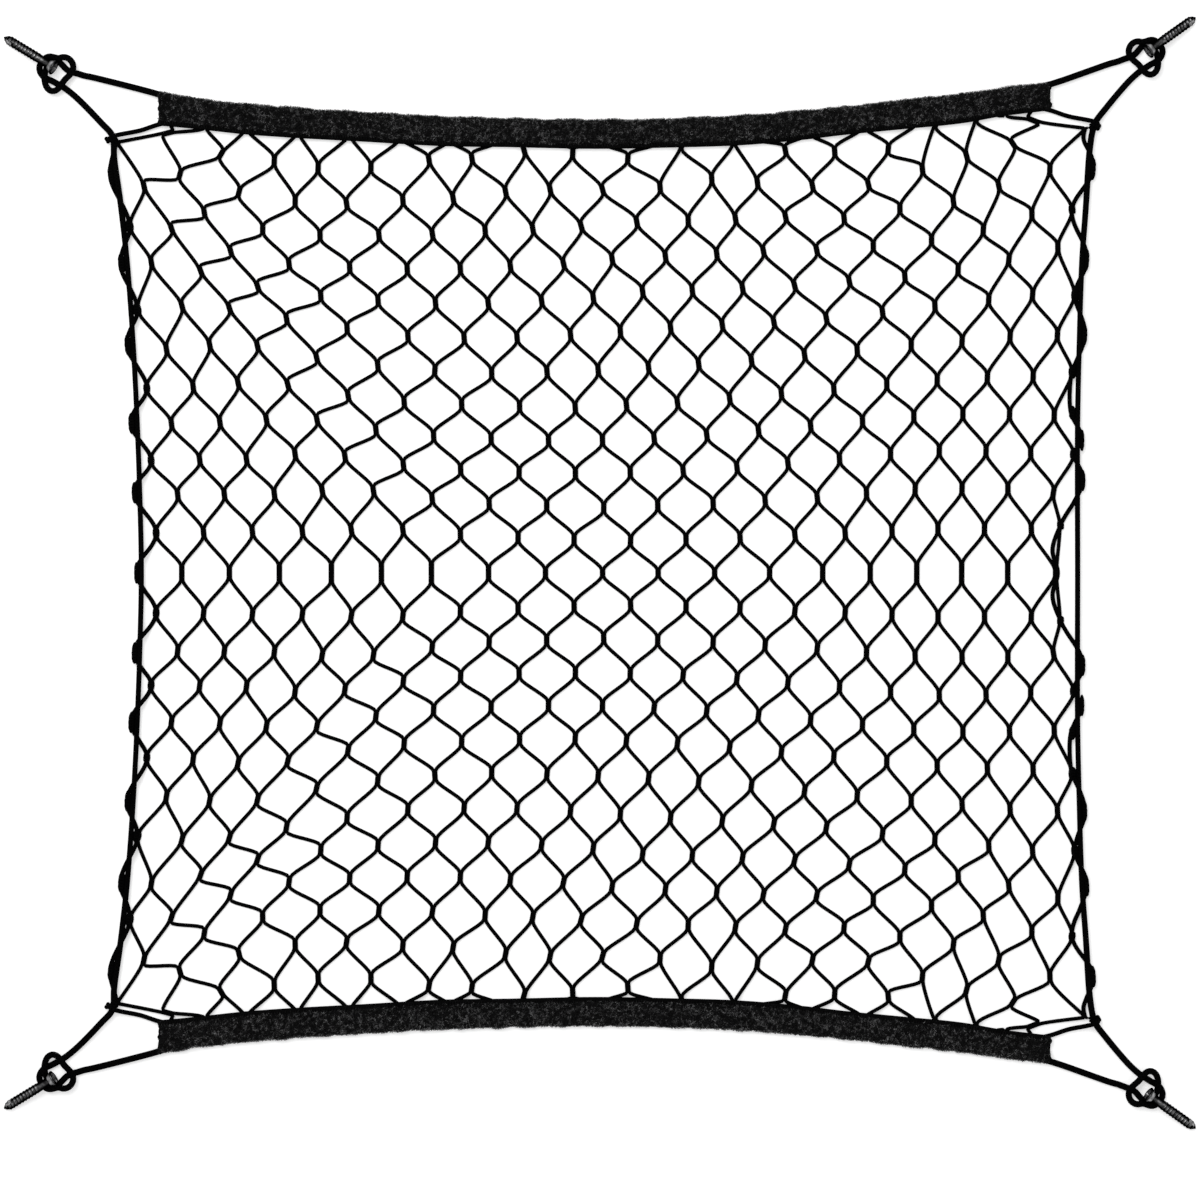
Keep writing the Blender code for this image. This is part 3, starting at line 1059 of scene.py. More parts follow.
@dataclass(frozen=True)
class Lattice:
    """Where the net's knots lie.

    A column is half a mesh wide and a row half a mesh high. Row 0 is the middle line, row 11
    ends at the corners, row 12 hangs under the hem and row 13 is inside it.

    Attributes:
        last_column: The column at the right side.
        corner_row: The row of the corners.
        hem_row: The row that hangs under the hem.
        columns: Columns of the two tables.
        heights: For a row, its height over the middle line at those columns.
        across: For a row, its x at those columns.
        middle: The knots of the middle line. Columns: column, x, half length.
        hanging: The knots of row 12. Columns: column, x, how far it hangs below the hem.
        slack_middle: Where the slack belt runs, as column plus row.
        slack_width: How wide it is.
        slack_shift: How far its knots are moved.
        slack_rows: Rows where the belt begins, is full, begins to fade and has ended.
        pulls: Columns: column of a corner, reach in lattice steps, shift in x and in y.
        unevenness: How far knots lie from an even lattice.
        seed: Which unevenness.
        corners: Places of the corner knots.
        placed: Other knots with a place of their own. Columns: column, row, x, y.
        drawn: Knots drawn over by a taut strand. Columns: column, row, degrees from X, half length.
        hem: The hems' edges.
        net_in_hem: How far the net reaches into a hem.
    """

    last_column: int = 36
    corner_row: int = 11
    hem_row: int = 12
    columns: tuple[int, ...] = (0, 5, 10, 15, 20, 25, 30, 36)
    heights: dict[int, tuple[float, ...]] = field(
        default_factory=lambda: {
            0: (0, 0, 0, 0, 0, 0, 0, 0),
            1: (26, 27, 26.9, 22, 21.6, 25, 28.7, 27.6),
            3: (73, 73.7, 69.7, 64.4, 66.9, 72.3, 79.8, 76),
            5: (121, 119.5, 110.9, 107.7, 110.4, 118, 125.3, 127.8),
            7: (171.7, 166.5, 154, 153.7, 159.3, 164, 173.2, 182),
            9: (230, 203.3, 197.6, 199.8, 206.4, 209.2, 215.6, 234.6),
            12: (286, 263, 264, 271, 273, 276, 285, 295),
        }
    )
    across: dict[int, tuple[float, ...]] = field(
        default_factory=lambda: {
            0: (-287, -207, -126, -35, 57, 145, 220, 310),
            1: (-288.2, -209.3, -126.1, -34.7, 56.3, 144.1, 220, 310.7),
            3: (-291.5, -212.4, -126.8, -33.5, 55.4, 139.1, 221.3, 309.7),
            5: (-293.4, -216, -126.2, -33, 50.8, 135.3, 220.1, 312.7),
            7: (-296.7, -220.6, -124.3, -35.4, 46.3, 130.6, 218.3, 313),
            9: (-304, -219.7, -124.6, -40, 43, 123, 216, 313.4),
            12: (-298, -212, -129, -50, 38, 119, 206, 293),
        }
    )
    middle: Rows = (
        (1, -271.1, 4.9), (3, -240.2, 3.5), (5, -207.7, 5.5), (7, -173.9, 6.2), (9, -141.4, 6.2),
        (11, -108.9, 6.8), (13, -71.8, 4.2), (15, -34.8, 2.9), (17, 2.3, 2.2), (19, 38.4, 2.2),
        (21, 75.1, 2.2), (23, 110.8, 2.9), (25, 145.3, 4.2), (27, 176.2, 4.9), (29, 206.4, 6.2),
        (31, 235.6, 6.8), (33, 265.5, 6.2), (35, 296.6, 2.4),
    )
    hanging: Rows = (
        (1, -280.0, 4.4), (3, -245.5, 14.4), (5, -211.0, 15.9), (7, -182.5, 18.7),
        (9, -148.2, 16.7), (11, -110.5, 9.3), (13, -82.6, 7.5), (15, -48.7, 2.0), (17, -17.1, 3.2),
        (19, 18.7, 6.6), (21, 53.9, -1.5), (23, 86.2, -3.9), (25, 121.0, 5.7), (27, 153.1, 10.3),
        (29, 187.9, 12.0), (31, 219.5, -2.0), (33, 245.5, -2.2), (35, 282.2, 5.4),
    )
    slack_middle: float = 10.3
    slack_width: float = 2.0
    slack_shift: tuple[float, float] = (-3.3, 5.0)
    slack_rows: tuple[int, int, int, int] = (0, 3, 10, 12)
    pulls: Rows = ((0, 2.6, -7.5, 2.0), (36, 2.3, 0.5, 11.0))
    unevenness: float = 0.35
    seed: int = 11
    corners: dict[Side, tuple[float, float]] = field(
        default_factory=lambda: {Side.LEFT: (-312.9, 279.6), Side.RIGHT: (315.6, 288.6)}
    )
    placed: Rows = (
        (0, 13, -283.0, 299.0), (36, 13, 284.0, 306.0), (34, 13, 264.0, 300.0),
        (2, 13, -254.0, 291.5), (27, 10, 159.2, 230.3), (28, 11, 175.0, 252.3),
        (26, 11, 138.7, 251.3), (14, 11, -60.7, 247.6), (32, 11, 238.8, 270.9),
        (22, 11, 73.2, 256.1), (16, 11, -31.8, 249.1), (17, 10, -11.6, 225.2), (18, 11, 2.3, 249.0),
        (33, 10, 259.7, 251.5), (8, 11, -164.0, 239.8), (34, 11, 268.9, 278.9),
        (13, 10, -74.0, 222.4), (7, 8, -180.8, 179.9), (29, 8, 198.7, 192.5), (32, 7, 253.2, 177.6),
        (18, 9, 8.5, 204.0), (22, 9, 76.5, 207.2),
    )
    drawn: Rows = ((1, 12, 14.0, 3.2), (35, 12, 160.0, 4.0))
    hem: HemLine = field(default_factory=HemLine)
    net_in_hem: float = 6.0

    def side_column(self, side: Side) -> int:
        """The column at one end of the net."""
        return 0 if side is Side.LEFT else self.last_column

    def _mapped(self, column: float, row: float) -> Array:
        """Place a knot on the smooth lattice of the upper half.

        Args:
            column: Its column.
            row: Its row.

        Returns:
            The place.
        """
        rows = tuple(self.heights)
        place = []
        for table in (self.across, self.heights):
            values = tuple(float(SmoothLine(self.columns, table[r]).at(column)) for r in rows)
            place.append(float(SmoothLine(rows, values).at(row)))
        return np.array(place)

    def _shifted(self, column: int, row: int) -> Array:
        """Shift a knot from the smooth lattice, by the slack belt and the corners.

        Args:
            column: Its column.
            row: Its row.

        Returns:
            The shift.
        """
        first, full, fading, last = self.slack_rows
        belt = math.exp(-(((column + row - self.slack_middle) / self.slack_width) ** 2))
        shift = np.array(self.slack_shift) * belt
        shift = shift * float(eased(row, first, full)) * (1.0 - float(eased(row, fading, last)))
        for corner, reach, dx, dy in self.pulls:
            distance = math.hypot(column - corner, row - self.corner_row)
            shift = shift + np.array([dx, dy]) * math.exp(-0.5 * (distance / reach) ** 2)
        return shift

    def knots(self) -> dict[tuple[int, int], Array]:
        """Place the knots inside the side runs, in both halves.

        Returns:
            The places by column and row.
        """
        draw = np.random.default_rng(self.seed)
        hanging = {column: (x, drop) for column, x, drop in self.hanging}
        found = {}
        for row in range(self.hem_row + 2):
            for column in range(self.last_column + 1):
                if (column + row) % 2 == 0:
                    continue
                place = self._mapped(column, min(row, self.hem_row))
                loose = draw.normal(0.0, self.unevenness, 2)
                if row == 0:
                    loose[1] = 0.0
                if row == self.hem_row:
                    x, drop = hanging[column]
                    place = np.array([x, float(self.hem.inner(x)) - drop])
                elif row > self.hem_row:
                    place[1] = float(self.hem.inner(place[0])) + self.net_in_hem
                else:
                    shift = self._shifted(column, row) if row else np.zeros(2)
                    place = place + shift + loose
                found[column, row] = place
                found[column, -row] = place * np.array([1.0, -1.0])
        corners = [(self.side_column(side), self.corner_row, *place) for side, place in self.corners.items()]
        middle = [(column, 0, x, 0.0) for column, x, _ in self.middle]
        for column, row, x, y in (*self.placed, *middle, *corners):
            found[column, row] = np.array([x, y])
            found[column, -row] = np.array([x, -y])
        return found


@dataclass(frozen=True)
class SelvedgeLine:
    """Where a doubled selvedge winds around its side run.

    Attributes:
        side: Which end of the net.
        rows: Columns: row of the lattice, height over the middle line, distance past the cord.
    """

    side: Side
    rows: Rows

    def place(self, cord: CordLine, row: float) -> Array:
        """Place the selvedge at a row.

        Args:
            cord: The side runs of the edge cord.
            row: The row, below 0 in the lower half.

        Returns:
            The place on the ground plan.
        """
        height, past = {r: (h, p) for r, h, p in self.rows}[abs(row)]
        x = float(cord.x(self.side, height)) + self.side.value * past
        return np.array([x, math.copysign(height, row) if row else 0.0])


SELVEDGES = (
    SelvedgeLine(
        Side.LEFT,
        (
            (0, 0.0, 3.25), (1, 26.0, -9.8), (2, 52.0, 3.8), (3, 73.0, -7.8), (4, 97.0, 4.35),
            (5, 120.0, -7.0), (6, 148.0, 4.2), (7, 171.0, -4.3), (8, 200.5, 4.5), (9, 225.0, -4.2),
            (10, 257.5, 3.95),
        ),
    ),
    SelvedgeLine(
        Side.RIGHT,
        (
            (0, 0.0, -12.6), (0.5, 15.0, -16.0), (1, 31.0, -10.8), (2, 60.0, 3.75), (3, 77.0, -2.4),
            (4, 86.0, 3.05), (4.3, 104.0, -4.3), (4.7, 124.0, -5.0), (5, 130.5, -4.0),
            (6, 154.5, 3.65), (7, 180.5, -3.6), (8, 203.0, 3.25), (9, 236.0, -8.6),
            (10, 262.0, 3.65), (10.5, 281.8, -4.75),
        ),
    ),
)


@dataclass
class DiamondNet:
    """The knotless net: twines that zigzag up the net and are knitted together at the knots.

    Attributes:
        lattice: Where the knots lie.
        cord: The side runs of the edge cord.
        finishes: The materials.
        twine_radius: Radius of a twine.
        twine_sides: Faces around a twine.
        bar_points: Points along a bar between two knots.
        knot_half: Half a knot's length.
        corner_half: Half a corner knot's length.
        long_half: Half the length over which a knot has twice the stitches.
        knot_end: How far a knot's stitches reach past it.
        knot_spread: Distance of the two twines of a knot from its middle.
        knot_radius: Half a knot's width.
        side_knot: Width of a knot on a selvedge, as a share of the others' width.
        knot_flatness: Height of a knot as a share of its width.
        knot_rings: Sections along a knot.
        stitches: Half turns of a knot's stitches.
        stitch_relief: How far the stitches stand out.
        relaxed: Length of a bar pair's half that has no pull on a knot.
        least_pull: The pull of bars that are no longer than that.
        bend: How far a knot's direction reaches into a bar, as a share of the bar.
        ground_level: Height of a twine's middle over the ground.
        knot_level: Height of a knot's middle over the ground.
        hem_level: Height of a twine's middle inside a hem.
        hem_rise: Distances under a hem's inner edge at which a twine is inside it and on the ground.
        wave: Length of the waves in which twines lie over the ground.
        wave_height: Height of these waves, up and down.
        wave_lift: Height of their middle.
        climb: Distances past the cord at which a twine begins to climb it and is on it.
        climb_end: Height over the middle line up to which twines meet the side runs.
    """

    lattice: Lattice
    cord: CordLine
    finishes: Finishes
    twine_radius: float = 1.26
    twine_sides: int = 8
    bar_points: int = 7
    knot_half: float = 2.9
    corner_half: float = 0.6
    long_half: float = 4.0
    knot_end: float = 0.5
    knot_spread: float = 0.62
    knot_radius: float = 1.8
    side_knot: float = 1.3
    knot_flatness: float = 0.8
    knot_rings: int = 9
    stitches: float = 3.0
    stitch_relief: float = 0.1
    relaxed: float = 21.0
    least_pull: float = 0.7
    bend: float = 0.42
    ground_level: float = 1.28
    knot_level: float = 1.38
    hem_level: float = 2.44
    hem_rise: tuple[float, float] = (1.0, 8.0)
    wave: float = 30.0
    wave_height: float = 0.25
    wave_lift: float = 0.2
    climb: tuple[float, float] = (-4.5, -1.5)
    climb_end: float = 300.0

    def __post_init__(self) -> None:
        """Place the knots and work out how each one is drawn."""
        self.places = self.lattice.knots()
        last_row = self.lattice.corner_row - 2
        for line in SELVEDGES:
            for row in range(-last_row, last_row + 1, 2):
                self.places[self.lattice.side_column(line.side), row] = line.place(self.cord, row)
        self.uprights = {key: self._upright(*key) for key in self.places}
        self.half_lengths = {key: self.knot_half for key in self.places}
        self.half_lengths.update({(column, 0): half for column, _, half in self.lattice.middle})
        self.half_lengths.update({key: self.corner_half for key in self.places if self._is_corner(key)})
        for column, row, degrees, half in self.lattice.drawn:
            lean = np.array([math.cos(math.radians(degrees)), math.sin(math.radians(degrees))])
            self.uprights[column, row] = lean
            self.uprights[column, -row] = lean * np.array([-1.0, 1.0]) if row else lean
            self.half_lengths[column, row] = self.half_lengths[column, -row] = half

    def _upright(self, column: int, row: int) -> Array:
        """Direction of a knot: it leans towards the pair of bars that pulls harder.

        Args:
            column: Its column.
            row: Its row.

        Returns:
            The direction on the ground plan.
        """
        here = self.places[column, row]
        total = np.zeros(2)
        for step in (-1, 1):
            above = self.places.get((column + step, row + 1))
            below = self.places.get((column - step, row - 1))
            if above is None and below is None:
                continue
            above = here if above is None else above
            below = here if below is None else below
            length = np.linalg.norm(above - here) + np.linalg.norm(here - below)
            pull = max(length / 2.0 - self.relaxed, self.least_pull)
            total += unit(above - below) * pull
        least_rise = 0.2
        if row == 0 or total[1] < least_rise:
            return np.array([0.0, 1.0])
        return unit(total)

    def _end(self, key: tuple[int, int], way: int, hand: int) -> Array:
        """Where a twine leaves a knot.

        Args:
            key: Column and row of the knot.
            way: 1 for its upper end and -1 for its lower one.
            hand: 1 for the twine on its right and -1 for the one on its left.

        Returns:
            The place on the ground plan.
        """
        up = self.uprights[key]
        right = np.array([up[1], -up[0]])
        return self.places[key] + up * way * self.half_lengths[key] + right * hand * self.knot_spread

    def _is_corner(self, key: tuple[int, int]) -> bool:
        """Whether a knot is a corner of the net."""
        return key[0] in (0, self.lattice.last_column) and abs(key[1]) == self.lattice.corner_row

    def _level(self, plan: Array) -> Array:
        """Height of a twine's middle: on the ground, then up into a hem.

        Args:
            plan: Places on the ground plan, one in each row.

        Returns:
            The height at each place.
        """
        edge = self.lattice.hem.inner(np.clip(plan[:, 0], self.lattice.hem.start, self.lattice.hem.end))
        below = edge - np.abs(plan[:, 1])
        return self.hem_level + (self.ground_level - self.hem_level) * eased(below, *self.hem_rise)

    def _twine_path(self, column: int) -> Array:
        """Lead a twine up the net between a column and the next one.

        Args:
            column: The column.

        Returns:
            Points along it, from below upwards.
        """
        last_row = self.lattice.hem_row + 1
        keys = [(column + (column + row + 1) % 2, row) for row in range(-last_row, last_row + 1)]
        keys = [key for key in keys if key in self.places]
        plan = []
        for here, there in zip(keys, keys[1:]):
            hand = 1 if here[0] == column else -1
            start, end = self._end(here, 1, hand), self._end(there, -1, -hand)
            middle = 0.5 * (self._end(here, -1, hand) + start)
            reach = np.linalg.norm(end - start) * self.bend
            plan += [self._end(here, -1, hand)[None], middle[None]]
            taut = unit(end - start)
            leave, arrive = (taut if self._is_corner(key) else self.uprights[key] for key in (here, there))
            leave, arrive = leave * reach, arrive * reach
            plan.append(curve_between(start, leave, end, arrive, self.bar_points))
        plan.append(self.places[keys[-1]][None])
        plan = np.concatenate(plan)
        route = np.column_stack((plan, self._level(plan)))
        waves = ripple(route, self.wave, 3) * self.wave_height + self.wave_lift
        route[:, 2] += np.maximum(waves, 0.0)
        for side in Side:
            self._clear_cord(route, side)
        return route

    def _clear_cord(self, route: Array, side: Side) -> None:
        """Lay a twine over the edge cord where its route meets it.

        Args:
            route: The twine's points, changed in place.
            side: Which run of the cord.
        """
        past = self.cord.past(side, route[:, 0], route[:, 1])
        near = (np.abs(route[:, 1]) < self.climb_end) & (past > self.climb[0])
        crest = self.cord.level + self.cord.arch(past, self.twine_radius)
        share = eased(past, *self.climb)
        lifted = route[:, 2] * (1.0 - share) + crest * share
        route[near, 2] = lifted[near]

    def build(self) -> list[Object]:
        """Make the twines and the knots.

        Returns:
            The two pieces.
        """
        twines = MeshDraft()
        for column in range(self.lattice.last_column):
            twines.add_tube(self._twine_path(column), self.twine_radius, self.twine_sides, level=0.02)
        knots = MeshDraft()
        for key in self.places:
            if abs(key[1]) <= self.lattice.hem_row:
                self._add_knot(knots, key)
        finish = self.finishes.twine
        return [twines.build("net_twine", finish), knots.build("net_knots", finish)]

    def _add_knot(self, knots: MeshDraft, key: tuple[int, int]) -> None:
        """Add the stitches that knit two twines together.

        Args:
            knots: The mesh that gets them.
            key: Column and row of the knot.
        """
        up = np.append(self.uprights[key], 0.0)
        half = self.half_lengths[key] + self.knot_end
        repeats = 2 if self.half_lengths[key] > self.long_half else 1
        t = np.linspace(-1.0, 1.0, repeats * self.knot_rings)
        plan = self.places[key]
        level = float(self._level(plan[None])[0]) + self.knot_level - self.ground_level
        at_side = key[0] in (0, self.lattice.last_column)
        path = np.append(plan, level) + up * (t * half)[:, None]
        stitches = self.stitch_relief * np.cos(t * math.pi * self.stitches * repeats)
        body = np.sqrt(np.maximum(1.0 - np.abs(t) ** 4, 0.02))
        width = self.knot_radius * (self.side_knot if at_side else 1.0)
        knots.add_tube(path, (width + stitches) * body, self.twine_sides, flatness=self.knot_flatness)


@dataclass
class Selvedge:
    """The doubled edge twine that winds around the edge cord at one end of the net.

    Attributes:
        line: Where it winds.
        lattice: Where the net's knots lie.
        cord: The side runs of the edge cord.
        finishes: The materials.
        twine_radius: Radius of each of its two twines.
        sides: Faces around a twine and a knot.
        spread: Distance of the two from the middle of the pair.
        twist: How far the two rise and fall around each other.
        twist_run: Length along the pair for each radian of that.
        knot_level: Height of its middle where it is knitted to the net.
        inside: Distances inside the cord at which it leaves the arch over it and is at that height.
        step: Spacing of its sections.
        knot_length: Length of its knots beside the cord.
        inner_length: Length of the knots inside the cord, as a share of the others.
        knot_rings: Sections along a knot.
        knot_bite: How far a knot reaches into the cord's outline.
        inner_reach: How far inside the cord a bend may lie and still be knitted against it.
    """

    line: SelvedgeLine
    lattice: Lattice
    cord: CordLine
    finishes: Finishes
    twine_radius: float = 0.85
    sides: int = 8
    spread: float = 0.62
    twist: float = 0.25
    twist_run: float = 5.0
    knot_level: float = 1.3
    inside: tuple[float, float] = (2.6, 6.5)
    step: float = 1.2
    knot_length: float = 14.0
    inner_length: float = 0.65
    knot_rings: int = 17
    knot_bite: float = 0.4
    inner_reach: float = 4.7

    def _plan(self) -> Array:
        """Lead the pair along the cord.

        Returns:
            Its places on the ground plan, from the lower corner to the upper one.
        """
        corner = np.array(self.lattice.corners[self.line.side])
        rows = [row for row, _, _ in self.line.rows]
        rows = [-row for row in reversed(rows[1:])] + rows
        bends = [self.line.place(self.cord, row) for row in rows]
        return through(np.array([corner * np.array([1.0, -1.0]), *bends, corner]), self.step)

    def _levels(self, plan: Array) -> Array:
        """Lead the pair over the cord on the way in and under it on the way out.

        Args:
            plan: Its places on the ground plan.

        Returns:
            The height at each place.
        """
        past = self.cord.past(self.line.side, plan[:, 0], plan[:, 1])
        outwards = eased(np.gradient(past), -0.4, 0.4)
        crossing = self.cord.level + self.cord.arch(past, self.twine_radius) * (1.0 - 2.0 * outwards)
        inside = eased(-past, *self.inside)
        levels = crossing * (1.0 - inside) + self.knot_level * inside
        return np.maximum(levels, self.twine_radius + 0.05)

    def build(self) -> Object:
        """Make the pair of twines.

        Returns:
            The piece.
        """
        draft = MeshDraft()
        plan = self._plan()
        along = unit(np.gradient(plan, axis=0))
        right = np.column_stack((along[:, 1], -along[:, 0]))
        runs = np.cumsum(np.linalg.norm(np.diff(plan, axis=0, prepend=plan[:1]), axis=1))
        levels = self._levels(plan)
        for hand in (-1, 1):
            twist = hand * self.twist * np.sin(runs / self.twist_run)
            path = np.column_stack((plan + right * hand * self.spread, levels + twist))
            draft.add_tube(path, self.twine_radius, self.sides, level=0.02)
        for _, height, past in self.line.rows:
            if past > -self.inner_reach:
                self._add_knots(draft, height, past)
        return draft.build(f"selvedge_{self.line.side.name.lower()}", self.finishes.selvedge)

    def _add_knots(self, draft: MeshDraft, height: float, past: float) -> None:
        """Add the knots of one bend against the cord, in both halves.

        Args:
            draft: The mesh that gets them.
            height: Their distance from the middle line.
            past: Their distance past the cord, below 0 on its inner side.
        """
        t = np.linspace(-1.0, 1.0, self.knot_rings)
        body = np.sqrt(1.0 - 0.95 * np.abs(t) ** 2.6) + 0.04 * np.cos(t * 4.0 * math.pi)
        outwards = self.line.side.value * math.copysign(1.0, past)
        near = self.cord.diameter / 2.0 - self.knot_bite
        far = abs(past) + self.spread + self.twine_radius
        length = self.knot_length * (1.0 if past > 0.0 else self.inner_length)
        for flip in (1.0, -1.0) if height else (1.0,):
            y = flip * (height + t * length / 2.0)
            x = self.cord.x(self.line.side, y) + outwards * (near + far) / 2.0
            path = np.column_stack((x, y, np.full(len(t), self.cord.level)))
            draft.add_tube(path, (far - near) / 2.0 * body, self.sides, flatness=0.8)


@dataclass
class CornerTie:
    """Where a corner of the net is tied to the cord, with the strand that runs on to the hem.

    Attributes:
        edge: Upper or lower half.
        side: Which end.
        height: Where the tie sits, from the middle line.
        nub: How far the tie's knot lies outside the cord.
        drop: How far below the tie's middle that knot lies.
        mouth: Where the strand enters the hem's end, over its inner edge.
        cord: The side runs of the edge cord.
        hem: The hems' edges.
        finishes: The materials.
        twine_radius: Radius of its twine.
        sides: Faces around it.
        turns: Turns around the cord.
        pitch: Distance between these turns.
        knot_size: Size of the small knot.
        knot_twine: Radius of the knot's twine as a share of the tie's.
        strand_twine: Radius of the strand, two twines wide, as a share of the tie's.
    """

    edge: Edge
    side: Side
    height: float
    nub: float
    drop: float
    mouth: float
    cord: CordLine
    hem: HemLine
    finishes: Finishes
    twine_radius: float = 0.95
    sides: int = 8
    turns: float = 2.6
    pitch: float = 1.75
    knot_size: float = 0.62
    knot_twine: float = 0.85
    strand_twine: float = 1.6

    def _wrap(self) -> Array:
        """Wind the twine around the cord.

        Returns:
            Points along it.
        """
        t = np.linspace(0.0, 1.0, 60)
        y = self.height + (t - 0.5) * self.turns * self.pitch
        radius = self.cord.diameter / 2.0 + self.twine_radius * 0.8
        turn = t * self.turns * TURN + math.pi / 2.0
        x = self.cord.x(self.side, y) + np.cos(turn) * radius * self.side.value
        z = self.cord.level + np.sin(turn) * radius
        return np.column_stack((x, y * self.edge.value, z))

    def _knot(self) -> Array:
        """Tie the small knot outside the cord.

        Returns:
            Points along its closed path.
        """
        t = np.linspace(0.0, TURN, 40, endpoint=False)
        size = self.knot_size
        middle = float(self.cord.x(self.side, self.height)) + self.side.value * self.nub
        x = middle + size * (np.sin(t) + 2.0 * np.sin(2.0 * t))
        y = self.height - self.drop + size * (np.cos(t) - 2.0 * np.cos(2.0 * t))
        z = self.cord.level - 0.6 - size * np.sin(3.0 * t)
        return np.column_stack((x, y * self.edge.value, z))

    def _strand(self) -> Array:
        """Lead the strand from the tie, over the cord and into the end of the hem.

        Returns:
            Points along it.
        """
        start = float(self.cord.x(self.side, self.height))
        out = self.side.value
        hem_end = self.hem.start if self.side is Side.LEFT else self.hem.end
        mouth = float(self.hem.inner(hem_end)) + self.mouth
        places = (
            (start + out * self.nub, self.height - self.drop, self.cord.level),
            (start + out * 0.2, self.height + 1.4, self.cord.level + 2.65),
            (start - out * 4.0, self.height + 2.9, self.cord.level + 0.6),
            (hem_end + out * 12.0, mouth - 3.9, 2.4),
            (hem_end, mouth, 2.48),
            (hem_end - out * 14.0, mouth + 3.0, 2.48),
        )
        return through(np.array([(x, y * self.edge.value, z) for x, y, z in places]), 2.0)

    def build(self) -> Object:
        """Make the tie.

        Returns:
            The piece.
        """
        draft = MeshDraft()
        radius = self.twine_radius
        draft.add_tube(self._wrap(), radius, self.sides, level=0.02)
        draft.add_tube(self._knot(), radius * self.knot_twine, self.sides, closed=True, level=0.02)
        draft.add_tube(self._strand(), radius * self.strand_twine, self.sides, level=0.02)
        name = f"corner_tie_{self.edge.name}_{self.side.name}".lower()
        return draft.build(name, self.finishes.selvedge)


# --- Edge cord --------------------------------------------


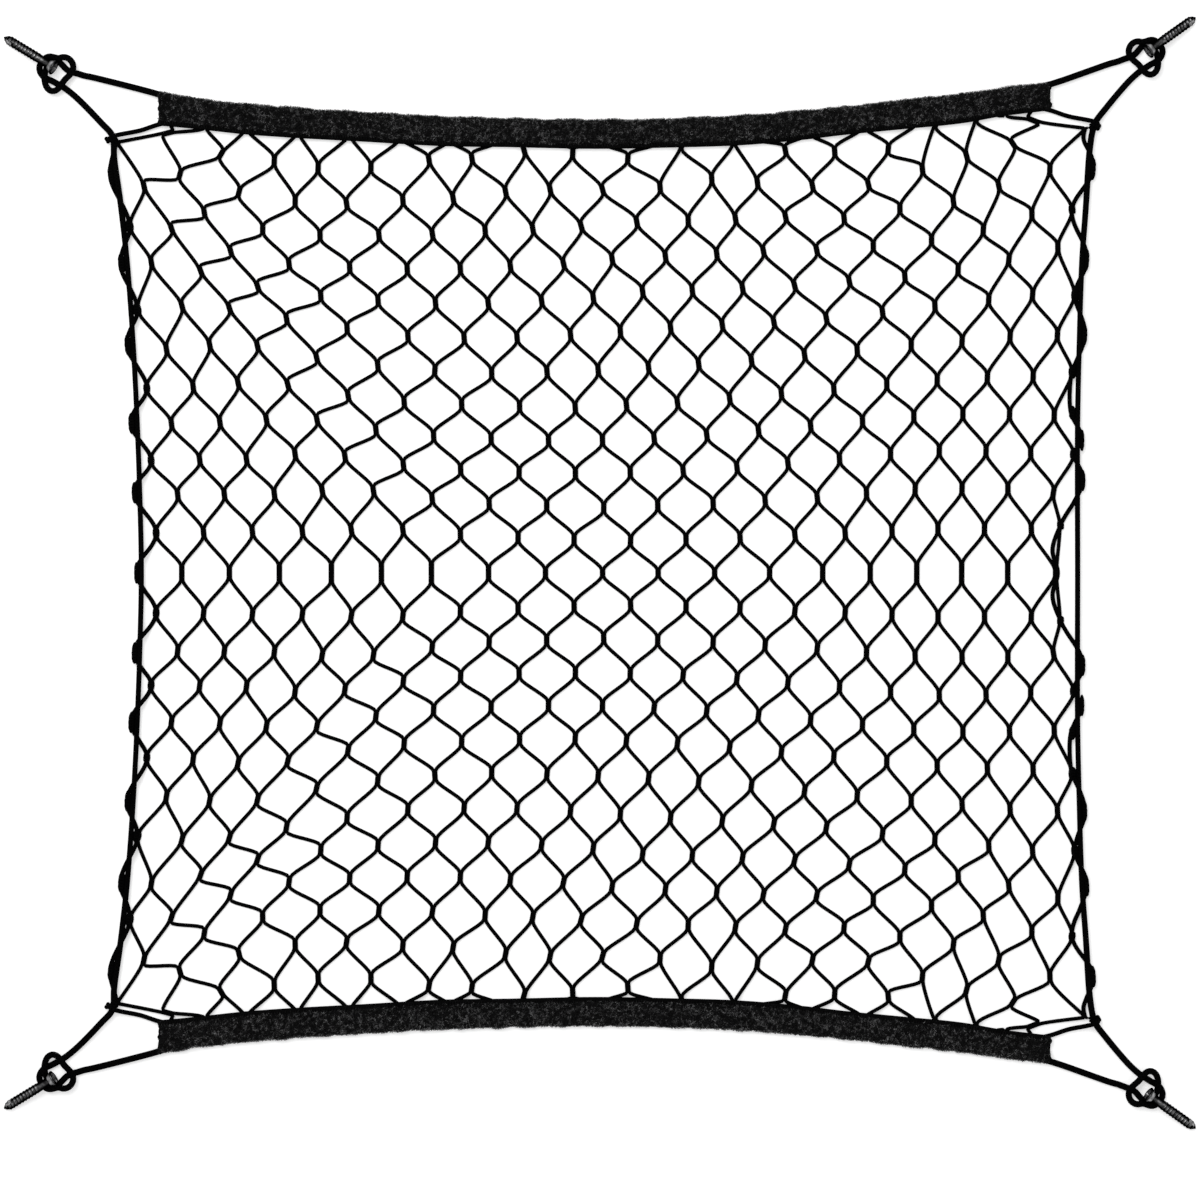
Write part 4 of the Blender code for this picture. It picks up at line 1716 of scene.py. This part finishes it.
@dataclass
class EdgeCord:
    """The shock cord all the way round the net.

    Attributes:
        cord: Its side runs.
        hem: The hems' edges.
        finishes: The materials.
        fleece: Thickness of the hem's cloth, under which the cord runs.
        clearance: Clear space between the cord and the cloth.
        hem_entry: How far inside a hem's end the cord lies in its channel.
        entry_lift: How far outwards the cord slips where it leaves a hem, on the left and right.
        entry_share: Share of that at the next place inside the hem.
        run_step: Spacing of the places in a hem.
        step: Spacing of the cord's sections.
        sides: Faces around it.
        slack: How much thicker it is where nothing pulls on it, as a share.
        slack_from: Heights over the middle line at which it begins to be slack and fully is.
        hitch: Route through a hitch. Columns: along the screw from its head towards the net,
            across it towards the side run, height over the ground.
    """

    cord: CordLine
    hem: HemLine
    finishes: Finishes
    fleece: float = 1.2
    clearance: float = 0.35
    hem_entry: float = 5.0
    entry_lift: tuple[float, float] = (1.9, 2.7)
    entry_share: float = 0.4
    run_step: float = 22.0
    step: float = 1.6
    sides: int = 14
    slack: float = 0.2
    slack_from: tuple[float, float] = (150.0, 285.0)
    hitch: Rows = (
        (23.4, -8.0, 2.4), (18.1, -6.1, 1.9), (13.5, -4.9, 1.8), (9.6, -3.7, 1.8), (6.0, -3.6, 1.8),
        (2.4, -4.5, 1.8), (-0.7, -5.0, 1.8), (-3.4, -4.1, 1.8), (-5.0, -1.8, 1.8), (-5.4, 0.9, 2.0),
        (-4.8, 3.8, 3.4), (-3.8, 6.4, 5.1), (-2.6, 8.6, 5.6), (-0.3, 11.6, 5.6), (2.8, 13.6, 5.6),
        (6.0, 13.6, 5.6), (8.2, 11.6, 5.7), (9.0, 8.6, 5.8), (9.1, 5.8, 5.8), (9.4, 2.8, 5.8),
        (10.1, 0.0, 5.8), (10.6, -3.0, 5.8), (10.3, -5.8, 5.8), (8.6, -8.3, 5.8), (6.0, -9.8, 5.8),
        (3.2, -10.0, 5.8), (0.6, -8.9, 5.8), (-1.2, -7.0, 5.8), (-3.6, -6.0, 5.7),
        (-6.5, -5.1, 4.7), (-9.0, -3.1, 2.6), (-9.9, 0.5, 1.8), (-9.8, 4.0, 1.8), (-7.8, 6.7, 1.8),
        (-4.7, 8.2, 1.8), (-1.2, 8.3, 1.8), (2.3, 7.8, 1.8), (6.0, 7.6, 1.8), (9.9, 7.4, 1.8),
        (14.7, 7.7, 1.9), (21.4, 8.7, 2.4),
    )

    def _hitch_route(self, side: Side, edge: Edge) -> Array:
        """Lead the cord through a hitch, then down the side run to the middle line.

        Args:
            side: Which end.
            edge: Upper or lower half.

        Returns:
            The places that it passes.
        """
        origin, along, across = SCREWS[side].axes(edge, side)
        table = np.array(self.hitch)
        turns = origin + table[:, :1] * along + table[:, 1:2] * across + table[:, 2:] * UP
        return np.concatenate((turns, self.cord.points(side, edge)))

    def _hem_route(self, edge: Edge) -> Array:
        """Lead the cord through a hem, from left to right.

        Args:
            edge: Upper or lower hem.

        Returns:
            The places that it passes.
        """
        start, end = self.hem.start + self.hem_entry, self.hem.end - self.hem_entry
        inset = self.fleece + self.clearance + self.cord.diameter / 2.0
        count = round((end - start) / self.run_step)
        x = np.concatenate(
            ([start - 2 * self.hem_entry], np.linspace(start, end, count + 1), [end + 2 * self.hem_entry])
        )
        lift = np.zeros(len(x))
        lift[[0, -1]] = self.entry_lift
        lift[[1, -2]] = self.entry_share * np.array(self.entry_lift)
        return np.column_stack((x, edge.value * (self.hem.outer(x) - inset + lift), np.full(len(x), inset)))

    def route(self) -> Array:
        """Lead the cord all the way round.

        Returns:
            The places that it passes.
        """
        top_left, top_right = (self._hitch_route(side, Edge.TOP) for side in Side)
        low_left, low_right = (self._hitch_route(side, Edge.BOTTOM) for side in Side)
        top = (top_left[::-1], self._hem_route(Edge.TOP), top_right)
        low = (low_right[-2::-1], self._hem_route(Edge.BOTTOM)[::-1], low_left[:-1])
        return np.concatenate(top + low)

    def build(self) -> Object:
        """Make the cord.

        Returns:
            The piece.
        """
        draft = MeshDraft()
        path = through(self.route(), self.step, closed=True)
        loose = eased(np.abs(path[:, 1]), *self.slack_from)
        radii = self.cord.diameter / 2.0 * (1.0 + self.slack * loose)
        draft.add_tube(path, radii, self.sides, closed=True)
        return draft.build("edge_cord_plaited", self.finishes.sleeve)


# --- Hems -------------------------------------------------


@dataclass(frozen=True)
class Tufts:
    """Curly tufts spread unevenly over a surface.

    Attributes:
        size: Distance between tufts.
        seed: Which pattern.
        repeat: Number of tufts in a row after which the pattern repeats.
        scatter: How far a tuft may lie from its even place, as a share of the distance.
    """

    size: float
    seed: int
    repeat: int = 512
    scatter: float = 0.42

    def nearest(self, spots: Array) -> tuple[Array, Array]:
        """The tuft that each spot belongs to.

        Args:
            spots: Places on the unrolled surface, one in each row.

        Returns:
            The way from the tuft's middle to each spot, and the tuft's three own numbers from
            -1 to 1.
        """
        shape = (self.repeat, self.repeat, 5)
        table = np.random.default_rng(self.seed).uniform(-1.0, 1.0, shape)
        cell = np.floor(spots / self.size).astype(int)
        best = np.full(len(spots), np.inf)
        away, own = np.zeros((len(spots), 2)), np.zeros((len(spots), 3))
        for step in np.ndindex(3, 3):
            corner = cell + np.array(step) - 1
            numbers = table[corner[:, 0] % self.repeat, corner[:, 1] % self.repeat]
            offset = spots - (corner + 0.5 + self.scatter * numbers[:, :2]) * self.size
            distance = np.linalg.norm(offset, axis=1)
            closer = distance < best
            best = np.where(closer, distance, best)
            away[closer], own[closer] = offset[closer], numbers[closer, 2:]
        return away, own


@dataclass
class Hem:
    """A fleece strip folded over the cord and the net's edge.

    Attributes:
        edge: Upper or lower hem.
        line: Its edges.
        finishes: The materials.
        fleece: Thickness of the cloth.
        nominal_width: Width of the folded strip for which the profile is drawn.
        roof: Height of the fold over the cord.
        shelf: Height over the net's edge.
        seam: Width of the flat stitched band along the inner edge.
        step: Distance between sections.
        tuft: Distance between tufts of pile.
        tuft_height: How far a tuft stands out of the cloth.
        lump: Length of the cloth's soft lumps.
        lump_height: How far a lump stands out or in.
        sunk: How far the cloth lies in between its tufts.
        ragged: How far the raw ends run in and out.
        curl: Distance between the painted highlights along curled yarn.
        pile_length: Length of a fibre.
        pile_cover: How far the pile stands out over the hem's outer edge.
        fibres: Number of fibres.
        stitch: Distance between stitches.
        thread: Radius of the sewing thread.
    """

    edge: Edge
    line: HemLine
    finishes: Finishes
    fleece: float = 1.2
    nominal_width: float = 20.0
    roof: float = 6.45
    shelf: float = 4.85
    seam: float = 2.6
    step: float = 1.05
    tuft: float = 3.1
    tuft_height: float = 0.55
    lump: float = 13.0
    lump_height: float = 0.32
    sunk: float = 0.25
    ragged: float = 0.7
    curl: float = 6.5
    pile_length: float = 1.7
    pile_cover: float = 0.5
    fibres: int = 46000
    stitch: float = 1.7
    thread: float = 0.24

    def _profile(self) -> Array:
        """Draw the outside of the fold.

        Returns:
            Its points. Columns: share of the width from the outer edge, height.
        """
        half = self.roof / 2.0
        bend = half * 0.95 / self.nominal_width
        turn = np.linspace(-math.pi / 2.0, math.pi / 2.0, 12)[1:-1]
        seam_start = 1.0 - self.seam / self.nominal_width
        over = np.append(np.linspace(bend, seam_start, 18), (1.0 + seam_start) / 2.0)
        crown = SmoothLine(
            (bend, 0.3, 0.48, 0.62, 1.0), (self.roof, self.roof - 0.3, 5.3, self.shelf, self.shelf)
        )
        under = np.linspace(1.0, bend, 6)
        base = np.column_stack((under, np.zeros(len(under))))
        back = np.column_stack((bend * (1.0 - np.cos(turn)), half + half * np.sin(turn)))
        top = np.column_stack((over, crown.at(over)))
        return np.concatenate((base, back, top, [(1.0, self.shelf - 0.15)]))

    def _runs(self, profile: Array) -> Array:
        """Length along the profile at each of its points."""
        steps = np.diff(profile * np.array([self.nominal_width, 1.0]), axis=0)
        return np.concatenate(([0.0], np.cumsum(np.linalg.norm(steps, axis=1))))

    def _outside(self) -> tuple[Array, Array, Array]:
        """The outside of the strip, as rows along the hem and columns around the fold.

        Returns:
            The places, the same places unrolled, and the outward direction of each column.
        """
        profile = self._profile()
        runs = self._runs(profile)
        slope = unit(np.gradient(profile * np.array([self.nominal_width, 1.0]), runs, axis=0))
        outward = np.column_stack((-slope[:, 1], slope[:, 0]))
        count = round((self.line.end - self.line.start) / self.step)
        x = np.linspace(self.line.start, self.line.end, count + 1)
        unrolled = np.stack(np.meshgrid(x, runs, indexing="ij"), axis=-1)
        outer, inner = self.line.outer(x)[:, None] - self.pile_cover, self.line.inner(x)[:, None]
        inset = profile[:, 0] * (outer - inner)
        height = np.broadcast_to(profile[:, 1], inset.shape)
        away, own = Tufts(self.tuft, 70 + self.edge.value).nearest(unrolled.reshape(-1, 2))
        round_off = np.clip(1.0 - (np.linalg.norm(away, axis=1) / (0.62 * self.tuft)) ** 2, 0.0, 1.0)
        lumps = ripple(unrolled.reshape(-1, 2), self.lump, 21 + self.edge.value)
        swell = self.tuft_height * round_off * (0.75 + 0.25 * own[:, 0])
        swell = swell + self.lump_height * lumps - self.sunk
        soft = eased(runs, runs[5] - 0.5, runs[7]) * (1.0 - eased(runs, runs[-3] - 1.0, runs[-3]))
        swell = swell.reshape(inset.shape) * soft
        inset = inset + swell * outward[:, 0]
        height = np.maximum(height + swell * outward[:, 1], 0.0)
        ends = np.exp((self.line.start - x) / 2.5) + np.exp((x - self.line.end) / 2.5)
        ragged = ripple(np.stack((inset, height), axis=-1).reshape(-1, 2), 6.0, 41).reshape(inset.shape)
        along = np.broadcast_to(x[:, None], inset.shape) + self.ragged * ragged * ends[:, None]
        places = np.stack((along, self.edge.value * (outer - inset), height), axis=-1)
        return places, unrolled, outward

    def _strip(self) -> Object:
        """Make the folded cloth, with its outside, inside, rims and raw ends.

        Returns:
            The piece.
        """
        places, unrolled, outward = self._outside()
        columns = places.shape[1]
        inwards = np.column_stack((np.zeros(columns), outward[:, 0] * self.edge.value, -outward[:, 1]))
        inside = (places + inwards * self.fleece)[:, ::-1]
        grid = np.concatenate((places, inside), axis=1)
        cloth = np.concatenate((unrolled, unrolled[:, ::-1], unrolled[:, :1]), axis=1)
        flip = self.edge is Edge.TOP
        draft = MeshDraft()
        first = draft.add_grid(grid, cloth, flip=flip)
        ring = np.arange(2 * columns)
        for row, far in ((0, False), (len(grid) - 1, True)):
            near, other = ring[: columns - 1], ring[1:columns]
            faces = np.stack((near, other, 2 * columns - 1 - other, 2 * columns - 1 - near), axis=-1)
            if far == flip:
                faces = faces[:, ::-1]
            draft.add_faces(faces + first + row * 2 * columns, np.zeros((len(faces), 4, 2)))
        return draft.build(f"hem_{self.edge.name.lower()}_fleece", self.finishes.ground)

    def _pile(self) -> Object:
        """Make the fibres on the outside of the fold, curled together in tufts.

        Returns:
            The piece.
        """
        draw = np.random.default_rng(51 + self.edge.value)
        places, unrolled, outward = self._outside()
        first, last = 6, places.shape[1] - 3
        row = draw.integers(0, places.shape[0] - 1, self.fibres)
        widths = np.diff(unrolled[0, first : last + 1, 1])
        column = first + draw.choice(len(widths), self.fibres, p=widths / widths.sum())
        share = draw.random((self.fibres, 2))

        def between(grid: Array) -> Array:
            """Values of a grid at the fibres' roots.

            Args:
                grid: Values by row and column.

            Returns:
                The values, one in each row.
            """
            s, t = share[:, :1], share[:, 1:]
            low = grid[row, column] * (1 - s) + grid[row + 1, column] * s
            high = grid[row, column + 1] * (1 - s) + grid[row + 1, column + 1] * s
            return low * (1 - t) + high * t

        root, spot = between(places), between(unrolled)
        facing = outward[column]
        normal = np.column_stack((np.zeros(self.fibres), -facing[:, 0] * self.edge.value, facing[:, 1]))
        around = np.column_stack((np.zeros(self.fibres), -facing[:, 1] * self.edge.value, -facing[:, 0]))
        away, own = Tufts(self.tuft, 70 + self.edge.value).nearest(spot)
        spread = away[:, :1] * np.array([1.0, 0.0, 0.0]) + away[:, 1:] * around
        swirl = np.cross(normal, spread) * np.sign(own[:, 1:2])
        lean = own[:, 1:2] * np.array([1.0, 0.0, 0.0]) + own[:, 2:3] * around
        loose = draw.normal(0.0, 0.3, (2, self.fibres, 3))
        way = unit(normal + 0.55 * spread + 0.5 * lean + loose[0])
        curl = unit(0.5 * way + 0.9 * swirl - 0.35 * spread + 0.3 * lean + loose[1])
        length = self.pile_length * draw.uniform(0.6, 1.15, (self.fibres, 1))
        middle = root + way * length * 0.55
        tip = middle + curl * length * 0.55
        wide = unit(np.cross(way, curl)) * draw.uniform(0.09, 0.19, (self.fibres, 1))
        fibres = np.stack((root - wide, root + wide, middle + wide, middle - wide, tip), axis=1)
        fibres[..., 2] = np.maximum(fibres[..., 2], 0.02)
        # Each fibre's brightness: the tuft's own tone, painted shade towards the tuft's border, a painted
        # lighter side on each tuft, painted highlights along curled yarn and a painted lighter outward side
        # of the fold; it is darker near the hem's ends.
        reach = np.linalg.norm(away, axis=1) / self.tuft
        painted_lit_side = np.sum(away * unit(own[:, 1:]), axis=1) / self.tuft
        painted_curl_highlights = 1.0 - np.minimum(np.abs(ripple(spot, self.curl, 61 + self.edge.value)) / 0.42, 1.0)
        shade = 0.2 + 0.3 * own[:, 0] + 0.7 * painted_lit_side + 1.1 * (0.36 - reach) + 0.9 * painted_curl_highlights
        shade = shade + draw.normal(0.0, 0.08, self.fibres) + 0.45 * (1.0 - eased(facing[:, 1], 0.1, 0.85))
        ends = np.minimum(root[:, 0] - self.line.start, self.line.end - root[:, 0])
        shade = np.clip(shade - 0.6 * np.exp(-ends / 6.0), 0.0, 1.0)
        draft = MeshDraft()
        start = draft.add_points(fibres.reshape(-1, 3)) + np.arange(self.fibres)[:, None] * 5
        for corners, heights in (([0, 1, 2, 3], [0.0, 0.0, 0.5, 0.5]), ([3, 2, 4], [0.5, 0.5, 1.0])):
            cloth = np.stack(np.broadcast_arrays(np.array(heights), shade[:, None]), axis=-1)
            draft.add_faces(start + np.array(corners), cloth)
        return draft.build(f"hem_{self.edge.name.lower()}_pile", self.finishes.pile)

    def _stitching(self) -> Object:
        """Make the overlock thread that loops around the upper layer's inner edge.

        The loop's columns: share of a stitch, place outwards of the edge, height over the cloth.

        Returns:
            The piece.
        """
        loop = (
            (0.0, self.seam + 0.5, 0.1), (0.3, 1.2, 0.22), (0.5, -0.15, -0.1), (0.6, 0.6, -1.15),
            (0.8, -0.15, -0.2),
        )
        count = int((self.line.end - self.line.start - 3.0) / self.stitch)
        turns = self.line.start + 1.5 + np.arange(count)[:, None] * self.stitch
        run, outwards, rise = np.array(loop).T
        x = (turns + run * self.stitch).ravel()
        y = self.edge.value * (self.line.inner(x) + np.tile(outwards, count))
        path = np.column_stack((x, y, self.shelf + np.tile(rise, count)))
        draft = MeshDraft()
        draft.add_tube(path, self.thread, 5)
        return draft.build(f"hem_{self.edge.name.lower()}_stitching", self.finishes.thread)

    def build(self) -> list[Object]:
        """Make the hem.

        Returns:
            The folded cloth, its pile and its stitching.
        """
        return [self._strip(), self._pile(), self._stitching()]


# --- Screws -----------------------------------------------


@dataclass
class Screw:
    """A countersunk self-tapping screw, held by the hitch at its neck.

    Attributes:
        edge: Upper or lower half.
        side: Which end.
        finishes: The materials.
        length: Length over all.
        crest: Radius over the thread.
        root: Radius of the core.
        neck_radius: Radius of the plain neck.
        face_radius: Radius of the head's face.
        head_radius: Radius of the head's rim.
        cone_end: Where the countersunk cone meets the neck.
        thread_start: Where the thread begins.
        taper_start: Where the point begins.
        pitch: Distance between turns of the thread.
        ridge_half: Half the width of the thread's ridge, as a share of the pitch.
        slope: How much it drops for each millimetre.
        neck: Distance from the head to the hitch's first turn.
        neck_height: Height of its axis there.
        recess_arm: Reach of the cross recess.
        recess_half: Half the width of an arm.
        recess_depth: Depth of the recess.
        flute_turn: Where around the screw its cutting flute lies, in radians.
        flute_half: Half the flute's width, in radians.
        flute_cut: Depth of the flute, as a share of the radius.
        sides: Faces around it.
        rings: Sections along the thread.
    """

    edge: Edge
    side: Side
    finishes: Finishes
    length: float = 40.0
    crest: float = 3.35
    root: float = 2.98
    neck_radius: float = 2.95
    face_radius: float = 4.95
    head_radius: float = 5.2
    cone_end: float = 3.8
    thread_start: float = 12.0
    taper_start: float = 34.5
    pitch: float = 2.4
    ridge_half: float = 0.26
    slope: float = 0.172
    neck: float = 9.0
    neck_height: float = 7.2
    recess_arm: float = 2.9
    recess_half: float = 0.65
    recess_depth: float = 2.6
    flute_turn: float = 0.75
    flute_half: float = 0.6
    flute_cut: float = 0.35
    sides: int = 40
    rings: int = 150

    def _frame(self) -> tuple[Array, Array, Array, Array]:
        """Find where the screw lies.

        Returns:
            Middle of the face, then directions to the point, sideways and upwards.
        """
        origin, along, _ = SCREWS[self.side].axes(self.edge, self.side)
        head = origin + UP * (self.neck_height + self.neck * self.slope)
        axis = unit(-along - UP * self.slope)
        sideways = unit(np.cross(axis, UP))
        return head, axis, sideways, np.cross(sideways, axis)

    def _head(self, turn: Array) -> tuple[Array, Array, Array]:
        """Depths, radii and bare-steel levels of the recess, the face, the rim and the cone.

        Args:
            turn: Angles around the screw.

        Returns:
            One depth for each section, then the radius and the bare-steel level by section and angle.
        """
        nearest = np.abs((turn + math.pi / 4.0) % (math.pi / 2.0) - math.pi / 4.0)
        wall = self.recess_half / np.maximum(np.sin(nearest), 1e-6)
        cross = np.minimum(self.recess_arm / np.cos(nearest), wall)
        rim = self.head_radius
        # Columns: depth, radius and bare-steel level. The face and the cone get a high level, a painted
        # highlight in the colour of bare steel.
        sections = (
            (self.recess_depth, cross * 0.35, 0.0),
            (self.recess_depth, cross * 0.6, 0.0),
            (0.1, cross, 0.2),
            (0.0, cross + 0.12, 1.7),
            (0.0, self.face_radius - 1.5, 1.7),
            (0.0, self.face_radius, 0.5),
            (0.12, rim - 0.06, 0.5),
            (0.5, rim, 0.5),
            (0.75, rim - 0.15, 1.4),
            (self.cone_end * 0.6, self.neck_radius + 1.1, 2.0),
            (self.cone_end, self.neck_radius + 0.3, 1.7),
            (self.cone_end + 0.8, self.neck_radius, 0.6),
            (self.thread_start - 1.0, self.neck_radius, 0.1),
        )
        depths = np.array([depth for depth, _, _ in sections])
        radii = np.array([np.broadcast_to(radius, turn.shape) for _, radius, _ in sections])
        worn = np.array([np.full(turn.shape, wear_and_highlight) for _, _, wear_and_highlight in sections])
        return depths, radii, worn

    def _thread(self, turn: Array) -> tuple[Array, Array, Array]:
        """Depths, radii and bare-steel levels of the threaded shank and its fluted point.

        Args:
            turn: Angles around the screw.

        Returns:
            One depth for each section, then the radius and the bare-steel level by section and angle.
        """
        depths = np.linspace(self.thread_start - 0.6, self.length, self.rings)
        column = depths[:, None]
        phase = (column / self.pitch - turn / TURN) % 1.0
        grown = eased(column, self.thread_start - 0.6, self.thread_start + 2.0)
        ridge = np.clip(1.0 - np.abs(phase - 0.5) / self.ridge_half, 0.0, 1.0) ** 0.8 * grown
        core = self.neck_radius + (self.root - self.neck_radius) * grown
        point = np.clip((column - self.taper_start) / (self.length - self.taper_start), 0.0, 1.0)
        flute_turn = self.flute_turn if self.side.value * self.edge.value > 0 else math.pi - self.flute_turn
        around = np.abs((turn - flute_turn + math.pi) % TURN - math.pi)
        flute = eased(column, self.taper_start - 3.0, self.taper_start - 1.0) * (around < self.flute_half)
        radii = (core + (self.crest - self.root) * ridge) * (1.0 - 0.95 * point**2)
        radii = radii * (1.0 - self.flute_cut * flute)
        return depths, radii, ridge * (1.0 - flute) + 2.0 * flute * (point < 0.6)

    def build(self) -> Object:
        """Make the screw.

        Returns:
            The piece.
        """
        head, axis, sideways, upwards = self._frame()
        turn = TURN * np.arange(self.sides) / self.sides
        parts = (self._head(turn), self._thread(turn))
        depths, radii, worn = (np.concatenate(values) for values in zip(*parts))
        spoke = np.cos(turn)[:, None] * sideways + np.sin(turn)[:, None] * upwards
        grid = head + depths[:, None, None] * axis + radii[..., None] * spoke
        grid[..., 2] = np.maximum(grid[..., 2], 0.05)
        around = np.append(np.arange(self.sides), 0)
        cloth = np.stack(np.broadcast_arrays(depths[:, None], worn[:, around]), axis=-1)
        draft = MeshDraft()
        first = draft.add_grid(grid, cloth)
        ring = np.arange(self.sides)
        last = first + (len(depths) - 1) * self.sides
        draft.add_fan(first + ring, grid[0].mean(axis=0), False)
        draft.add_fan(last + ring, grid[-1].mean(axis=0), True)
        name = f"screw_{self.edge.name}_{self.side.name}_threaded".lower()
        made = draft.build(name, self.finishes.steel)
        made.data.set_sharp_from_angle(angle=math.radians(50))
        return made


# --- Studio -----------------------------------------------


@dataclass(frozen=True)
class SoftLight:
    """A square soft light that faces the net.

    Attributes:
        name: Its name.
        place: Where it hangs, in metres.
        size: Its side, in metres.
        power: Its power in watts.
    """

    name: str
    place: tuple[float, float, float]
    size: float
    power: float

    def build(self) -> None:
        """Hang the light."""
        data = bpy.data.lights.new(self.name, "AREA")
        data.size, data.energy = self.size, self.power
        lamp = bpy.data.objects.new(self.name, data)
        lamp.location = self.place
        direction = -lamp.location
        lamp.rotation_euler = direction.to_track_quat("-Z", "Y").to_euler()
        bpy.context.scene.collection.objects.link(lamp)


@dataclass
class Studio:
    """A plain pale floor, soft light from all round and a camera straight above.

    Attributes:
        finishes: The materials.
        picture: Side of the photograph in pixels.
        pixel: Size of a pixel on the ground.
        middle: Place in the picture, in pixels, under which the net's origin lies.
        height: Distance of the camera from the ground.
        floor_half: Half the floor's side.
        sky: Strength of the light from all round.
        lights: The soft lights.
    """

    finishes: Finishes
    picture: int = 1200
    pixel: float = 0.65
    middle: tuple[float, float] = (599.0, 572.9)
    height: float = 3000.0
    floor_half: float = 4000.0
    sky: float = 0.45
    lights: tuple[SoftLight, ...] = (
        SoftLight("light_above", place=(-0.9, 1.1, 2.6), size=1.6, power=42.0),
        SoftLight("light_side", place=(1.8, -0.6, 1.5), size=1.2, power=6.0),
    )

    def build_floor(self) -> None:
        """Lay the floor just under the net."""
        half = self.floor_half
        across = np.array([-half, half])
        corners = np.stack(np.broadcast_arrays(across[:, None], across[None], 0.0), axis=-1)
        draft = MeshDraft()
        draft.add_grid(corners, corners[..., :2] / half)
        draft.build("floor", self.finishes.floor, smooth=False)

    def build_camera(self) -> None:
        """Hang the camera so that the whole photograph's frame is in view."""
        data = bpy.data.cameras.new("camera")
        data.sensor_width = 36.0
        data.lens = data.sensor_width * self.height / (self.picture * self.pixel)
        data.clip_start, data.clip_end = 0.1, 50.0
        camera = bpy.data.objects.new("camera", data)
        x = (self.picture / 2.0 - self.middle[0]) * self.pixel
        y = (self.middle[1] - self.picture / 2.0) * self.pixel
        camera.location = (x * MM, y * MM, self.height * MM)
        bpy.context.scene.collection.objects.link(camera)
        bpy.context.scene.camera = camera

    def build_light(self) -> None:
        """Light the net from all round, a little more from above and from the left."""
        world = bpy.data.worlds.new("studio")
        world.use_nodes = True
        backdrop = world.node_tree.nodes["Background"]
        backdrop.inputs["Color"].default_value = (1.0, 1.0, 1.0, 1.0)
        backdrop.inputs["Strength"].default_value = self.sky
        bpy.context.scene.world = world
        for light in self.lights:
            light.build()
        bpy.context.scene.view_settings.view_transform = "Standard"

    def build(self) -> None:
        """Set up the floor, the light and the camera."""
        self.build_floor()
        self.build_light()
        self.build_camera()


# --- The whole net ----------------------------------------


def settle(piece: Object, slot: str, *nodes: str) -> Object:
    """Fix a piece to the frame and log it.

    Args:
        piece: The piece.
        slot: The record's material slot of its finish; not used.
        *nodes: Solids that it stands for.

    Returns:
        The piece.
    """
    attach(piece, BODY)
    if nodes:
        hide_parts(*nodes)
    triangles = sum(len(face.vertices) - 2 for face in piece.data.polygons)
    log.info("%s: %d triangles", piece.name, triangles)
    return piece


def main() -> None:
    """Build every piece on the frame."""
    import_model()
    finishes = Finishes.make()
    Studio(finishes).build()

    lattice, hem, cord = Lattice(), HemLine(), CordLine()
    twine, knots = DiamondNet(lattice, cord, finishes).build()
    settle(twine, "twine", "net")
    on_net = [settle(knots, "twine")]
    for line in SELVEDGES:
        on_net.append(settle(Selvedge(line, lattice, cord, finishes).build(), "twine"))
    ties = {
        Side.LEFT: {"height": 281.5, "nub": 3.3, "drop": 0.2, "mouth": 0.5},
        Side.RIGHT: {"height": 290.9, "nub": 2.2, "drop": 1.3, "mouth": -0.2},
    }
    for edge in Edge:
        for side in Side:
            tie = CornerTie(edge, side, **ties[side], cord=cord, hem=hem, finishes=finishes)
            on_net.append(settle(tie.build(), "twine"))

    settle(EdgeCord(cord, hem, finishes).build(), "cord_sleeve", "edge_cord")

    for edge in Edge:
        node = f"hem_{edge.name.lower()}"
        strip, pile, stitching = Hem(edge, hem, finishes).build()
        settle(strip, "fleece", node)
        settle(pile, "fleece")
        settle(stitching, "twine")
        for side in Side:
            screw = Screw(edge, side, finishes)
            settle(screw.build(), "black_steel", f"screw_{edge.name}_{side.name}".lower())


if __name__ == "__main__":
    logging.basicConfig(level=logging.INFO, format="%(message)s")
    main()
